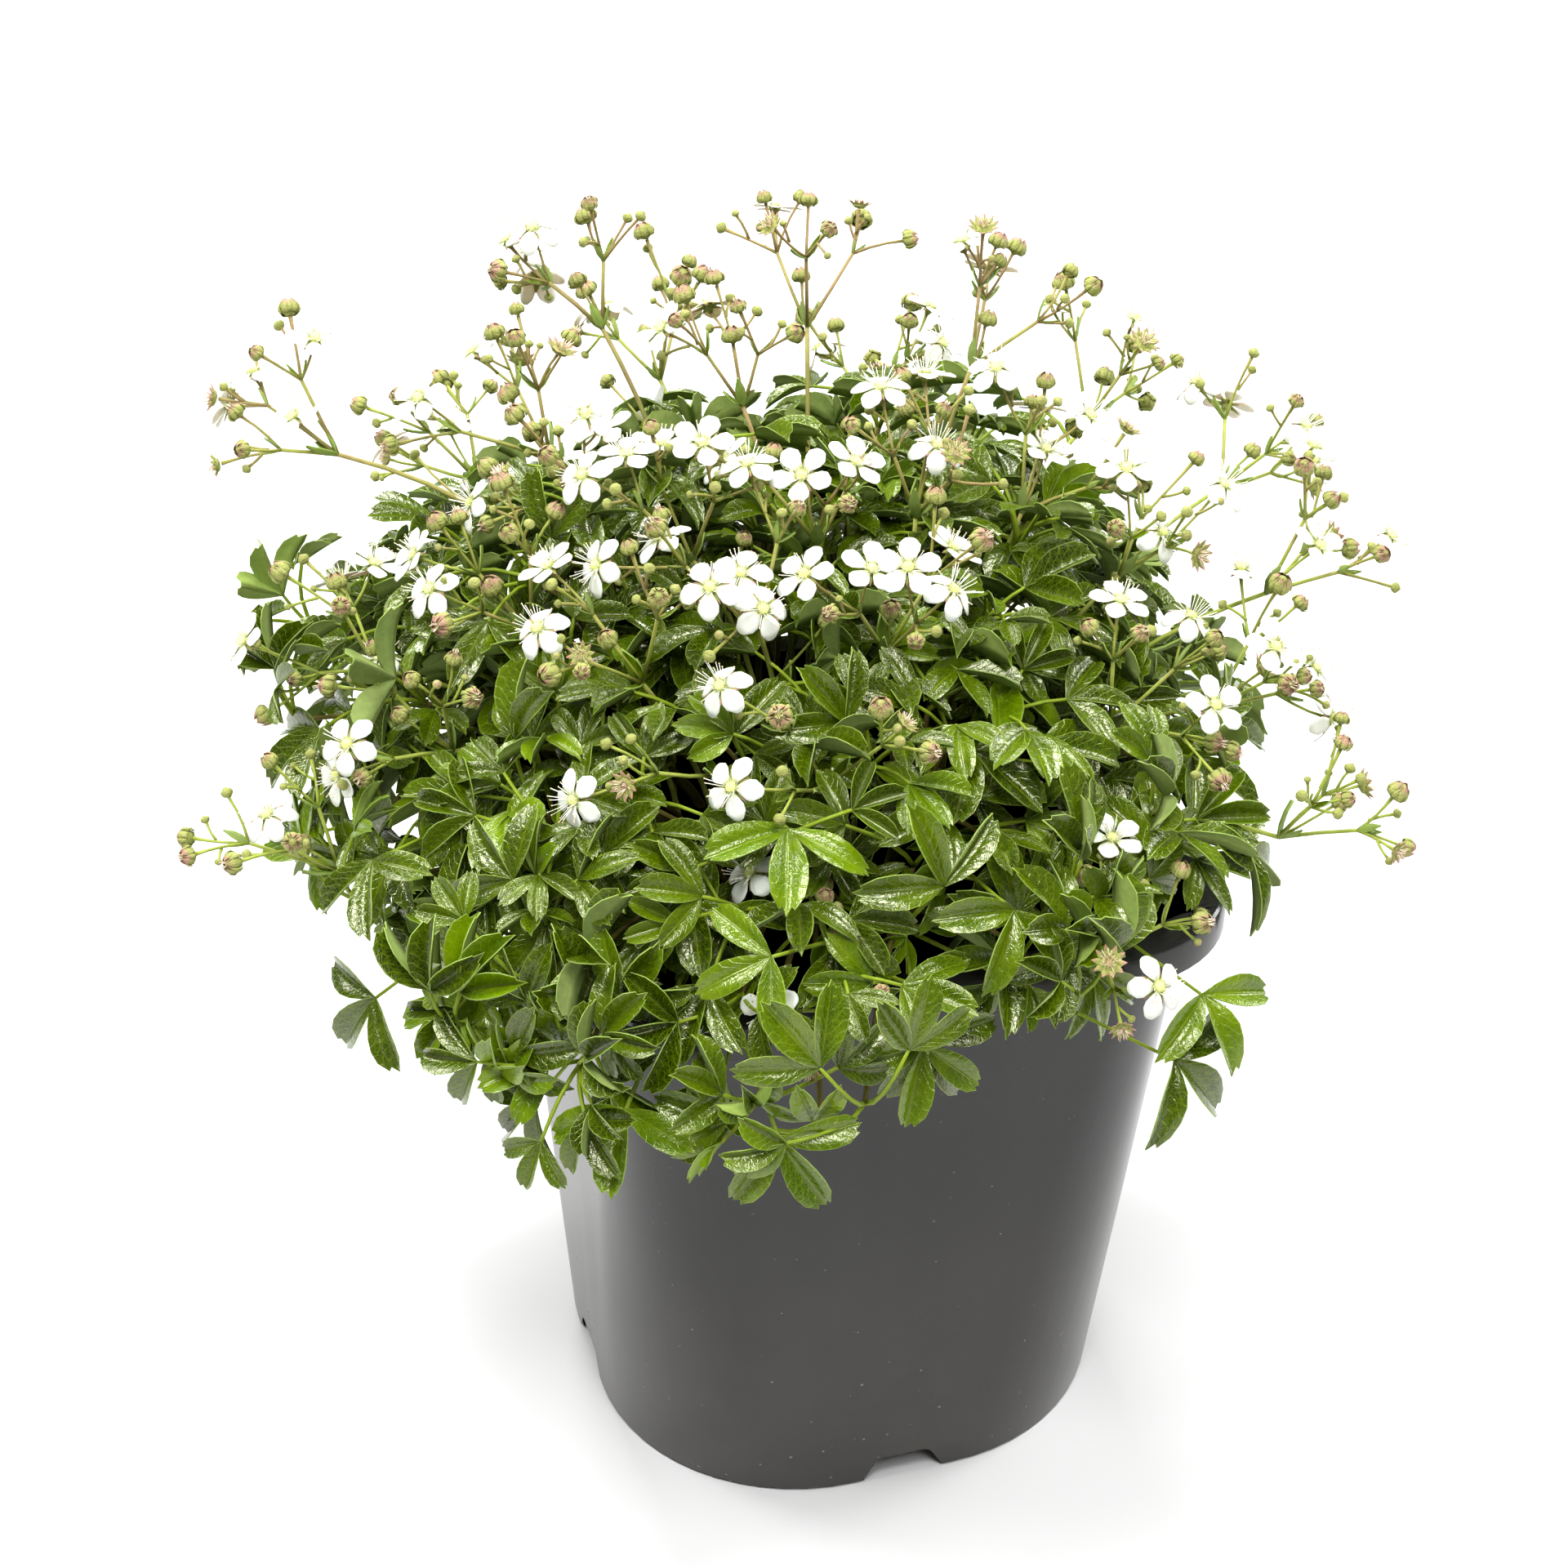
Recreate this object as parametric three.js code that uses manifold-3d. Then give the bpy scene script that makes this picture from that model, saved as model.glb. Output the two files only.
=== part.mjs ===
// Potted three-toothed cinquefoil: a nursery pot that is square at the rim and round at the foot,
// the soil in it, leafy shoots that make a low mound, and the flower sprays that stand out of it.
// Millimetres, Z up, origin at the middle of the pot's flat foot.
import * as THREE from 'three'
import * as BufferGeometryUtils from 'three/addons/utils/BufferGeometryUtils.js'
import Module from 'manifold-3d'

const wasm = await Module()
wasm.setup()

// Pot: rounded squares given by half width, corner radius and height
const CORNER_STEPS = 5
const WALL = 1.5
const FOOT = { half: 53, corner: 42.5, z: 0 }
const WALL_TOP = { half: 58, corner: 17, z: 131 }
const RIM = { half: 65, corner: 26, z: 132 }
const RIM_SKIRT = 7.5
const RIM_EDGE = 0.7
const MOUTH = { half: 57.4, corner: 18.5, deep: 4 }

// Drain notches in the middle of each side, with a pocket behind each
const NOTCH = { wide: 18, narrow: 11, high: 6, deep: 22 }
const DRAIN_RADIUS = 3
const DRAIN_INSET = 14

// Soil, its rough top, and the plain holes that the stems stand in
const GAP = 0.3
const SOIL_TOP = 122
const SOIL_RELIEF = 1.3
const HOLE_DEPTH = 8
const UPRIGHT = 3

// Mound of leaves: an ellipsoid that the leaves' joints lie on or close under
const MOUND = { x: -8, y: 3, z: 128, radius: 97, height: 52 }
const GOLDEN_ANGLE = 137.5

// Leafy shoots: four-sided stems, each with a leaf on up to four sides of its crown
const SHOOTS = 26
const SHOOT_RADIUS = 1.2
const CROWN = { widest: 96, spread: 0.62, lowest: 140, polar: [0.85, 1], sway: [-11, 11], shell: [0.5, 0.66] }
const SHOOT_FOOT = { reach: [0.4, 0.8], lift: [0.3, 0.6], margin: 6 }
const FOOT_SHIFT = [-4, 4]

// Leaves: plates on three-sided petioles
const LEAF_SIDES = 4
const LEAF = { tilt: [16, 66], sway: [-32, 32], shell: [0.76, 1.04], raise: [0.3, 1], roll: [-25, 25] }
const PETIOLE = { radius: 0.55, shortest: 11, longest: 58, apart: 32 }
const LEAFLET = { length: [14, 17.5], width: 0.25, spread: 66, fold: 0.1, droop: 0.1 }
const BEND = { shift: [-15, 15], most: 62 }
const BLADE = 0.7
const NECK = { depth: 1.2, radius: 0.45 }

// Flower sprays: three-sided stems that fork in three, and each branch in two
const STEM_RADIUS = 0.75
const STEM_FOOT = { share: 0.55, reach: 46, near: [0.8, 1], lift: [0.4, 0.7] }
const FORK_DROP = 24
const LEAN_HEIGHT = 100
const BRANCH = { radius: 0.55, length: [11, 18], tilt: [20, 46], sway: [-25, 25], apart: 30 }
const PEDICEL = { radius: 0.45, length: [9, 16], tilt: [24, 42], sway: [-20, 20], apart: 35 }
const FLOWER = { radius: 5.5, valley: 0.3, petal: 0.97, halfPetal: 17, lift: 0.4 }
const BUD = { radius: 2, size: [0.6, 1] }
const LOW_FORK = 180

// Samples that keep the pieces of different stems apart
const CLEARANCE = 0.4
const SAMPLE_STEP = 1.5
const BLADE_SAMPLE = 1.6
const FORK_CLEAR = 3

// Middle of each spray's head, as it stands seen from the front left: to the right of the pot's
// axis, behind it, above the floor, and how many of its six ends are open flowers
const VIEW_BEARING = -16.5
const SPRAYS = [
  [-112, 25, 213, 1], [-86, 74, 186, 1], [-67, 26, 216, 1], [-55, 58, 230, 2], [-42, 88, 205, 1],
  [-22, 36, 226, 2], [-6, 62, 231, 1], [12, 92, 196, 2], [34, 50, 227, 2], [64, 84, 196, 2],
  [46, 22, 208, 2], [95, 66, 188, 2], [99, 6, 193, 2], [68, 10, 198, 3], [88, -10, 177, 3],
  [64, -24, 181, 3], [100, -32, 158, 0], [58, -66, 152, 1], [2, -80, 152, 2], [-2, -58, 186, 2],
  [-26, -60, 189, 3], [-44, -38, 198, 2], [-18, -32, 208, 3], [12, -30, 202, 2], [-86, -28, 176, 2],
  [-110, -36, 152, 0], [-104, -2, 180, 2], [-70, -12, 195, 2], [-58, 6, 212, 2], [-34, -8, 212, 3],
  [-4, -4, 215, 2], [20, 6, 216, 2],
]

const vec = (x, y, z) => new THREE.Vector3(x, y, z)
const UP = vec(0, 0, 1)
const blend = (a, b, t) => a.clone().lerp(b, t)
const along = (start, direction, length) => start.clone().addScaledVector(direction, length)
const radians = (degrees) => degrees * Math.PI / 180
const degrees = (angle) => angle * 180 / Math.PI
const turned = (v, axis, turn) => v.clone().applyAxisAngle(axis, radians(turn))

// Seeded draws: each piece of the plant has a stream of its own
function stream(key) {
  let state = (key * 48271) % 2147483647
  return (low, high) => {
    state = (state * 16807) % 2147483647
    return low + (high - low) * state / 2147483647
  }
}

// Solids
function solid(geometry) {
  geometry.deleteAttribute('normal')
  geometry.deleteAttribute('uv')
  const merged = BufferGeometryUtils.mergeVertices(geometry, 1e-5)
  return new wasm.Manifold(new wasm.Mesh({
    numProp: 3,
    vertProperties: new Float32Array(merged.attributes.position.array),
    triVerts: new Uint32Array(merged.index.array),
  }))
}

function shell(points, faces) {
  const geometry = new THREE.BufferGeometry()
  geometry.setAttribute('position', new THREE.Float32BufferAttribute(points.flatMap((p) => p.toArray()), 3))
  geometry.setIndex(faces.flat())
  return solid(geometry)
}

function mesh(name, manifold, color, roughness) {
  const result = manifold.getMesh()
  const geometry = new THREE.BufferGeometry()
  geometry.setAttribute('position', new THREE.BufferAttribute(new Float32Array(result.vertProperties), 3))
  geometry.setIndex(new THREE.BufferAttribute(new Uint32Array(result.triVerts), 1))
  geometry.computeVertexNormals()
  const material = new THREE.MeshStandardMaterial({ color, roughness, metalness: 0 })
  const node = new THREE.Mesh(geometry, material)
  node.name = name
  return node
}

// Rings of equal count joined into a closed body, its two ends filled by a fan
function rings(list) {
  const count = list[0].length
  const points = list.flat()
  const faces = []
  for (let level = 0; level + 1 < list.length; level += 1) {
    for (let i = 0; i < count; i += 1) {
      const a = level * count + i
      const b = level * count + (i + 1) % count
      faces.push([a, b, b + count], [a, b + count, a + count])
    }
  }
  const top = (list.length - 1) * count
  for (let i = 1; i + 1 < count; i += 1) {
    faces.push([0, i + 1, i], [top, top + i, top + i + 1])
  }
  return shell(points, faces)
}

function roundedSquare({ half, corner, z }, inset = 0) {
  const radius = Math.max(corner - inset, 1)
  const centre = half - inset - radius
  const points = []
  for (let quarter = 0; quarter < 4; quarter += 1) {
    for (let step = 0; step <= CORNER_STEPS; step += 1) {
      const angle = (quarter + step / CORNER_STEPS) * Math.PI / 2
      const [sx, sy] = [[1, 1], [-1, 1], [-1, -1], [1, -1]][quarter]
      points.push(vec(sx * centre + radius * Math.cos(angle), sy * centre + radius * Math.sin(angle), z))
    }
  }
  return points
}

const loft = (...levels) => rings(levels.map(([level, inset = 0]) => roundedSquare(level, inset)))

// Trapezoid channel that runs in from the +X side, wider by `grow` all round
function channel(grow) {
  const outline = new THREE.Shape()
  const low = NOTCH.wide / 2 + grow
  const high = NOTCH.narrow / 2 + grow
  outline.moveTo(-low, -WALL)
  outline.lineTo(low, -WALL)
  outline.lineTo(low, 0)
  outline.lineTo(high, NOTCH.high + grow)
  outline.lineTo(-high, NOTCH.high + grow)
  outline.lineTo(-low, 0)
  const geometry = new THREE.ExtrudeGeometry(outline, { depth: 2 * NOTCH.deep, bevelEnabled: false })
  geometry.rotateX(Math.PI / 2)
  geometry.rotateZ(Math.PI / 2)
  geometry.translate(FOOT.half - NOTCH.deep - grow, 0, 0)
  return solid(geometry)
}

const onFourSides = (manifold) => [0, 90, 180, 270].map((turn) => manifold.rotate([0, 0, turn]))
  .reduce((all, part) => all.add(part))

// The wall's level at a height, between foot and top
function wallAt(z) {
  const t = z / WALL_TOP.z
  const mix = (a, b) => a + (b - a) * t
  return { half: mix(FOOT.half, WALL_TOP.half), corner: mix(FOOT.corner, WALL_TOP.corner), z }
}

function cavity(extra, floor, ceiling) {
  const inset = WALL + extra
  return loft([wallAt(floor), inset], [wallAt(ceiling / 2), inset], [wallAt(ceiling), inset])
}

function potSolid() {
  const wall = loft([FOOT], [wallAt(WALL_TOP.z / 2)], [WALL_TOP])
  const skirt = { ...RIM, z: RIM.z - RIM_SKIRT }
  const rim = loft([skirt], [{ ...RIM, z: RIM.z - RIM_EDGE }], [RIM, RIM_EDGE])
  const groove = loft([{ ...skirt, z: skirt.z - 1 }, WALL], [{ ...RIM, z: RIM.z - WALL }, WALL])
  const throat = RIM.z - MOUTH.deep
  const mouth = loft([wallAt(throat), WALL], [{ ...MOUTH, z: RIM.z + 1 }])
  const body = rim.subtract(groove).add(wall).subtract(cavity(0, WALL, throat)).subtract(mouth)
  const pockets = onFourSides(channel(WALL)).intersect(wall)
  const drain = new THREE.CylinderGeometry(DRAIN_RADIUS, DRAIN_RADIUS, NOTCH.high, 8)
  drain.rotateX(Math.PI / 2)
  drain.translate(FOOT.half - DRAIN_INSET, 0, NOTCH.high + WALL)
  return body.add(pockets).subtract(onFourSides(channel(0))).subtract(onFourSides(solid(drain)))
}

function soilSolid(holes) {
  const draw = stream(9)
  const edge = roundedSquare(wallAt(SOIL_TOP), WALL + GAP)
  const base = [WALL + GAP, SOIL_TOP / 2, SOIL_TOP - SOIL_RELIEF]
    .map((z) => roundedSquare(wallAt(z), WALL + GAP))
  const top = [0.8, 0.5, 0.2].map((scale) => edge
    .map((p) => vec(p.x * scale, p.y * scale, SOIL_TOP + draw(-SOIL_RELIEF, SOIL_RELIEF))))
  const body = rings([...base, ...top]).subtract(onFourSides(channel(WALL + GAP)))
  return holes.reduce((rest, hole) => rest.subtract(hole), body)
}

// Square hole in the soil for one stem, cut from above
function soilHole(foot, radius) {
  const width = (radius + GAP) * Math.SQRT2
  const geometry = new THREE.CylinderGeometry(width, width, 2 * HOLE_DEPTH, 4)
  geometry.rotateX(Math.PI / 2)
  geometry.translate(foot.x, foot.y, SOIL_TOP)
  return solid(geometry)
}

// Surface that grows ring by ring from its root and is closed at every end
class Growth {
  points = []
  faces = []

  add(point) {
    this.points.push(point)
    return this.points.length - 1
  }

  ring(centre, direction, radius, across, sides = 3) {
    const first = along(across, direction, -across.dot(direction)).normalize()
    const turns = Array.from({ length: sides }, (unused, i) => i * 360 / sides)
    return turns.map((turn) => this.add(along(centre, turned(first, direction, turn), radius)))
  }

  // Walls between two rings, turned so that they twist least
  join(from, to) {
    const count = from.length
    const stretch = (shift) => from.reduce((sum, index, i) =>
      sum + this.points[index].distanceTo(this.points[to[(i + shift) % count]]), 0)
    const all = from.map((index, shift) => stretch(shift))
    const shift = all.indexOf(Math.min(...all))
    for (let i = 0; i < count; i += 1) {
      const [a, b] = [from[i], from[(i + 1) % count]]
      const [c, d] = [to[(i + shift) % count], to[(i + 1 + shift) % count]]
      this.faces.push([a, b, d], [a, d, c])
    }
    return to
  }

  // Point over a ring: one face on each of its sides
  fork(ring, apex) {
    const top = this.add(apex)
    return ring.map((index, i) => [index, ring[(i + 1) % ring.length], top])
  }

  // Stem from the floor of its hole to its end, which gives a face for each branch
  stem(path, first, last, axis, across, sides) {
    const end = path.length - 1
    const levels = path.map((point, i) => {
      const heading = i < end ? path[i + 1].clone().sub(path[Math.max(i - 1, 0)]).normalize() : axis
      return this.ring(point, heading, first + (last - first) * i / end, across, sides)
    })
    for (let i = 2; i < sides; i += 1) this.faces.push([levels[0][0], levels[0][i], levels[0][i - 1]])
    levels.reduce((from, to) => this.join(from, to))
    return this.fork(levels[end], along(path[end], axis, last * 1.3))
  }

  // Stalk that leaves a face of a fork and runs straight to its end
  stalk(face, fork, end, radius, across) {
    const direction = end.clone().sub(fork).normalize()
    return this.join(face, this.ring(end, direction, radius, across))
  }

  // Bud on a stalk: a wide ring set crosswise, and a point
  bud(stalk, tip, direction, radius, across) {
    const wide = this.join(stalk, this.ring(tip, direction, radius, turned(across, direction, 60)))
    this.faces.push(...this.fork(wide, along(tip, direction, radius * 1.3)))
  }

  // Thin plate on a stalk: its outline below and above, and a middle that its upper face folds at
  plate(stalk, outline, heading, middle, normal, across) {
    const under = along(middle, normal, -NECK.depth)
    const neck = this.join(stalk, this.ring(under, heading, NECK.radius, across))
    const below = outline.map((point) => this.add(along(point, normal, -BLADE / 2)))
    const above = outline.map((point) => this.add(along(point, normal, BLADE / 2)))
    const centre = this.add(along(middle, normal, BLADE / 2))
    const count = outline.length
    const span = count / 3
    for (let i = 0; i < count; i += 1) {
      const next = (i + 1) % count
      const hub = Math.floor(i / span)
      this.faces.push([neck[hub], below[next], below[i]])
      this.faces.push([below[i], below[next], above[next]], [below[i], above[next], above[i]])
      this.faces.push([centre, above[i], above[next]])
      if ((i + 1) % span === 0) this.faces.push([neck[hub], neck[(hub + 1) % 3], below[next]])
    }
  }

  solid() {
    return shell(this.points, this.faces)
  }
}

// Direction that leans from an axis, by a tilt, to one side of it
function level(axis, azimuth) {
  return turned(vec(axis.z, 0, -axis.x).normalize(), axis, azimuth)
}

function leaning(axis, azimuth, tilt) {
  const angle = radians(tilt)
  return axis.clone().multiplyScalar(Math.cos(angle)).addScaledVector(level(axis, azimuth), Math.sin(angle))
}

const degreesBetween = (a, b) => degrees(a.angleTo(b))

// Samples: points with the radius that each one covers, kept by owner
const placed = []

function reachPast(point, { half, corner }) {
  const x = Math.max(Math.abs(point.x) - half + corner, 0)
  const y = Math.max(Math.abs(point.y) - half + corner, 0)
  return Math.hypot(x, y) - corner
}

function clearOfPot([point, radius]) {
  if (point.z - radius > RIM.z + CLEARANCE) return true
  if (reachPast(point, RIM) > radius + CLEARANCE) return true
  return reachPast(point, MOUTH) < -radius - CLEARANCE && point.z - radius > SOIL_TOP + SOIL_RELIEF
}

const apart = (some, others) => some.every(([point, radius]) => others.every(([other, size]) =>
  point.distanceTo(other) > radius + size + CLEARANCE))

function clear(samples, owner) {
  return placed.filter((item) => item.owner !== owner).every((item) => {
    const near = samples.filter(([point, radius]) => point.distanceTo(item.middle) < item.reach + radius)
    return apart(near, item.samples)
  })
}

function keep(samples, owner) {
  const middle = samples.reduce((sum, [point]) => sum.add(point), vec(0, 0, 0)).divideScalar(samples.length)
  const reach = CLEARANCE + Math.max(...samples.map(([point, radius]) => point.distanceTo(middle) + radius))
  placed.push({ samples, owner, middle, reach })
}

function lineSamples(start, end, radius) {
  const steps = Math.ceil(start.distanceTo(end) / SAMPLE_STEP)
  return Array.from({ length: steps + 1 }, (unused, i) => [blend(start, end, i / steps), radius + GAP])
}

function pathSamples(path, radius) {
  return path.slice(1).flatMap((point, i) => lineSamples(path[i], point, radius + GAP))
}

// Stem that stands upright in the soil, then leans over to its end
function standingPath(foot, end, lift) {
  const start = vec(foot.x, foot.y, SOIL_TOP + UPRIGHT)
  const control = along(start, UP, lift * end.distanceTo(start))
  const curve = new THREE.QuadraticBezierCurve3(start, control, end)
  return [vec(foot.x, foot.y, SOIL_TOP - HOLE_DEPTH + GAP), ...curve.getPoints(3)]
}

// First of several trials that fits
function firstFit(attempts, trial) {
  for (let attempt = 0; attempt < attempts; attempt += 1) {
    const found = trial()
    if (found) return found
  }
  return null
}

// Flower: five obovate petals round a middle, from the valley before the first
const PETAL_TURNS = [0, 72, 144, 216, 288]
const PETAL = [[-36, FLOWER.valley], [-FLOWER.halfPetal, FLOWER.petal], [FLOWER.halfPetal, FLOWER.petal]]

function flowerOutline(middle, normal) {
  return PETAL_TURNS.flatMap((petal) => PETAL.map(([turn, reach]) =>
    along(middle, level(normal, petal + turn), reach * FLOWER.radius)))
}

function flowerSamples(point, normal) {
  const rim = [0, 60, 120, 180, 240, 300].map((turn) =>
    [along(point, level(normal, turn), FLOWER.radius * 0.62), 2.4])
  return [[point, 2.2], ...rim]
}

// One branch of a spray, with two pedicels that each end in a flower or a bud
function branchLayout(fork, direction, flowers, draw) {
  const end = along(fork, direction, draw(...BRANCH.length))
  const spin = draw(0, 120)
  const ends = [0, 1].map((i) => {
    const heading = leaning(direction, spin + 60 + 120 * i + draw(...PEDICEL.sway), draw(...PEDICEL.tilt))
    const tip = along(end, heading, draw(...PEDICEL.length))
    const open = i < flowers
    const normal = along(heading, UP, FLOWER.lift).normalize()
    const size = draw(...BUD.size) * BUD.radius
    const head = open ? flowerSamples(tip, normal) : [[along(tip, heading, size * 0.4), size * 1.3]]
    const samples = [...lineSamples(along(end, heading, FORK_CLEAR), tip, PEDICEL.radius), ...head]
    return { heading, tip, open, normal, size, samples }
  })
  const [one, two] = ends
  const inner = lineSamples(along(fork, direction, FORK_CLEAR), end, BRANCH.radius)
  const outer = [...one.samples, ...two.samples]
  const fits = degreesBetween(one.heading, two.heading) > PEDICEL.apart && apart(one.samples, two.samples)
  return { direction, end, spin, ends, inner, outer, all: [...inner, ...outer], fits }
}

function sprayStem([side, behind, height, flowers], index) {
  const owner = `spray_${String(index + 1).padStart(2, '0')}`
  const draw = stream(101 + index)
  const head = turned(vec(side, behind, height), UP, VIEW_BEARING)
  const lean = vec(head.x, head.y, LEAN_HEIGHT).normalize()
  const fork = along(head, lean, -FORK_DROP)
  const share = Math.min(STEM_FOOT.share, STEM_FOOT.reach / Math.hypot(head.x, head.y))
  const path = firstFit(100, () => {
    const x = head.x * share * draw(...STEM_FOOT.near) + draw(...FOOT_SHIFT)
    const y = head.y * share * draw(...STEM_FOOT.near) + draw(...FOOT_SHIFT)
    const trial = standingPath(vec(x, y, 0), fork, draw(...STEM_FOOT.lift))
    return clear(pathSamples(trial, STEM_RADIUS), owner) && trial
  })
  if (!path) return null
  keep(pathSamples(path, STEM_RADIUS), owner)
  return { owner, draw, flowers, path, lean, fork, spin: draw(0, 120) }
}

function sprayLayout({ owner, draw, flowers, path, lean, fork, spin }) {
  const branches = []
  for (let arm = 0; arm < 3; arm += 1) {
    const open = Math.floor((flowers + 2 - arm) / 3)
    const branch = firstFit(150, () => {
      const direction = leaning(lean, spin + 60 + 120 * arm + draw(...BRANCH.sway), draw(...BRANCH.tilt))
      const trial = branchLayout(fork, direction, open, draw)
      const own = branches.filter(Boolean).every((other) =>
        degreesBetween(other.direction, direction) > BRANCH.apart
        && apart(trial.outer, other.all) && apart(trial.inner, other.outer))
      return trial.fits && own && trial.all.every(clearOfPot) && clear(trial.all, owner) && trial
    })
    if (branch) keep(branch.all, owner)
    branches.push(branch)
  }
  return { owner, path, lean, fork, spin, branches }
}

function spraySolid({ path, lean, fork, spin, branches }) {
  const body = new Growth()
  const faces = body.stem(path, STEM_RADIUS, BRANCH.radius, lean, level(lean, spin), 3)
  branches.forEach((branch, arm) => {
    if (!branch) {
      body.faces.push(faces[arm])
      return
    }
    const { direction, end, ends } = branch
    const ring = body.stalk(faces[arm], fork, end, PEDICEL.radius, level(direction, branch.spin))
    const forks = body.fork(ring, along(end, direction, PEDICEL.radius * 1.3))
    ends.forEach(({ heading, tip, open, normal, size }, i) => {
      const across = level(heading, 0)
      if (open) {
        const stalk = body.stalk(forks[i], end, along(tip, normal, -2 * NECK.depth), PEDICEL.radius, across)
        const neck = along(heading, normal, 1).normalize()
        body.plate(stalk, flowerOutline(tip, normal), neck, tip, normal, level(normal, 26.5))
      } else {
        const stalk = body.stalk(forks[i], end, along(tip, heading, -size * 0.8), PEDICEL.radius, across)
        body.bud(stalk, tip, heading, size, across)
      }
    })
    body.faces.push(forks[2])
  })
  return body.solid()
}

// Leaf: three leaflets cut to the joint, each with three teeth at its tip
const LEAFLET_OUTLINE = [[0.84, -1], [0.87, -0.42], [1, 0], [0.87, 0.42], [0.84, 1]]

function leafLayout(crown, joint, facing, draw) {
  const petiole = joint.clone().sub(crown).normalize()
  const side = turned(facing.clone().cross(petiole).normalize(), petiole, draw(...LEAF.roll))
  const upper = petiole.clone().cross(side).normalize()
  const wanted = degrees(Math.atan2(facing.dot(petiole), facing.dot(upper)))
  const bend = Math.min(Math.max(wanted + draw(...BEND.shift), 0), BEND.most)
  const axis = turned(petiole, side, bend)
  const normal = turned(upper, side, bend)
  return { joint, petiole, side, axis, normal, length: draw(...LEAFLET.length) }
}

// Point of a leaflet: along and across it, with its fold along the rib and its droop to the tip
function leafPoint({ joint, side, axis, normal, length }, turn, u, v) {
  const point = along(joint, turned(axis, normal, turn), u * length)
  point.addScaledVector(turned(side, normal, turn), v * LEAFLET.width * length)
  return point.addScaledVector(normal, (LEAFLET.fold * Math.abs(v) - LEAFLET.droop * u * u) * length)
}

const LEAFLET_TURNS = [-LEAFLET.spread, 0, LEAFLET.spread]

function leafSamples(leaf) {
  return LEAFLET_TURNS.flatMap((turn) => [0.2, 0.36, 0.52, 0.68, 0.84, 0.96].flatMap((u) =>
    [-0.78, -0.26, 0.26, 0.78].map((v) =>
      [leafPoint(leaf, turn, u, v * Math.min(1, u + 0.2)), BLADE_SAMPLE])))
}

function leafOutline(leaf) {
  const outline = [leafPoint(leaf, 180, 0.07, 0)]
  LEAFLET_TURNS.forEach((turn, i) => {
    if (i > 0) outline.push(leafPoint(leaf, turn - LEAFLET.spread / 2, 0.12, 0))
    outline.push(...LEAFLET_OUTLINE.map(([u, v]) => leafPoint(leaf, turn, u, v)))
  })
  return outline
}

// Where a ray from inside meets the mound, scaled
function onMound(start, direction, scale) {
  const squash = (v) => vec(v.x / MOUND.radius, v.y / MOUND.radius, v.z / MOUND.height)
  const from = squash(start.clone().sub(vec(MOUND.x, MOUND.y, MOUND.z)))
  const ray = squash(direction)
  const [a, b, c] = [ray.dot(ray), from.dot(ray), from.dot(from) - scale * scale]
  return along(start, direction, (Math.sqrt(b * b - a * c) - b) / a)
}

function crownAt(tilt, bearing, scale) {
  const ring = MOUND.radius * scale * Math.sin(radians(tilt))
  const z = Math.max(MOUND.z + MOUND.height * scale * Math.cos(radians(tilt)), CROWN.lowest)
  return along(vec(MOUND.x, MOUND.y, z), turned(vec(1, 0, 0), UP, bearing), ring)
}

function shootStem(index) {
  const owner = `shoot_${String(index + 1).padStart(2, '0')}`
  const draw = stream(301 + index)
  const polar = CROWN.widest * ((index + 0.5) / SHOOTS) ** CROWN.spread
  const path = firstFit(60, () => {
    const tilt = polar * draw(...CROWN.polar)
    const bearing = GOLDEN_ANGLE * index + draw(...CROWN.sway)
    const crown = crownAt(tilt, bearing, draw(...CROWN.shell))
    const x = crown.x * draw(...SHOOT_FOOT.reach) + draw(...FOOT_SHIFT)
    const y = crown.y * draw(...SHOOT_FOOT.reach) + draw(...FOOT_SHIFT)
    const trial = standingPath(vec(x, y, 0), crown, draw(...SHOOT_FOOT.lift))
    const inside = reachPast(trial[0], MOUTH) < -SHOOT_FOOT.margin
    return inside && clear(pathSamples(trial, SHOOT_RADIUS), owner) && trial
  })
  if (path) keep(pathSamples(path, SHOOT_RADIUS), owner)
  return { owner, draw, path }
}

function shootLayout({ owner, draw, path }) {
  const crown = path[path.length - 1]
  const centre = vec(MOUND.x, MOUND.y, MOUND.z)
  const axis = along(crown.clone().sub(vec(MOUND.x, MOUND.y, SOIL_TOP)).normalize(), UP, 0.2).normalize()
  const spin = draw(0, 90)
  const leaves = []
  for (let number = 0; number < LEAF_SIDES; number += 1) {
    leaves.push(firstFit(80, () => {
      const heading = leaning(axis, spin + 45 + 90 * number + draw(...LEAF.sway), draw(...LEAF.tilt))
      const joint = onMound(crown, heading, draw(...LEAF.shell))
      const facing = along(joint.clone().sub(centre).normalize(), UP, draw(...LEAF.raise)).normalize()
      const leaf = leafLayout(crown, joint, facing, draw)
      const reach = joint.distanceTo(crown)
      if (reach < PETIOLE.shortest || reach > PETIOLE.longest) return null
      const blade = leafSamples(leaf)
      const samples = [...blade, ...lineSamples(along(crown, heading, 5), joint, PETIOLE.radius)]
      const own = leaves.filter(Boolean).every((other) =>
        degreesBetween(other.petiole, heading) > PETIOLE.apart
        && apart(blade, other.samples) && apart(samples, other.blade))
      return own && samples.every(clearOfPot) && clear(samples, owner) && { ...leaf, blade, samples }
    }))
    if (leaves[number]) keep(leaves[number].samples, owner)
  }
  return { owner, path, crown, axis, spin, leaves }
}

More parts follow.
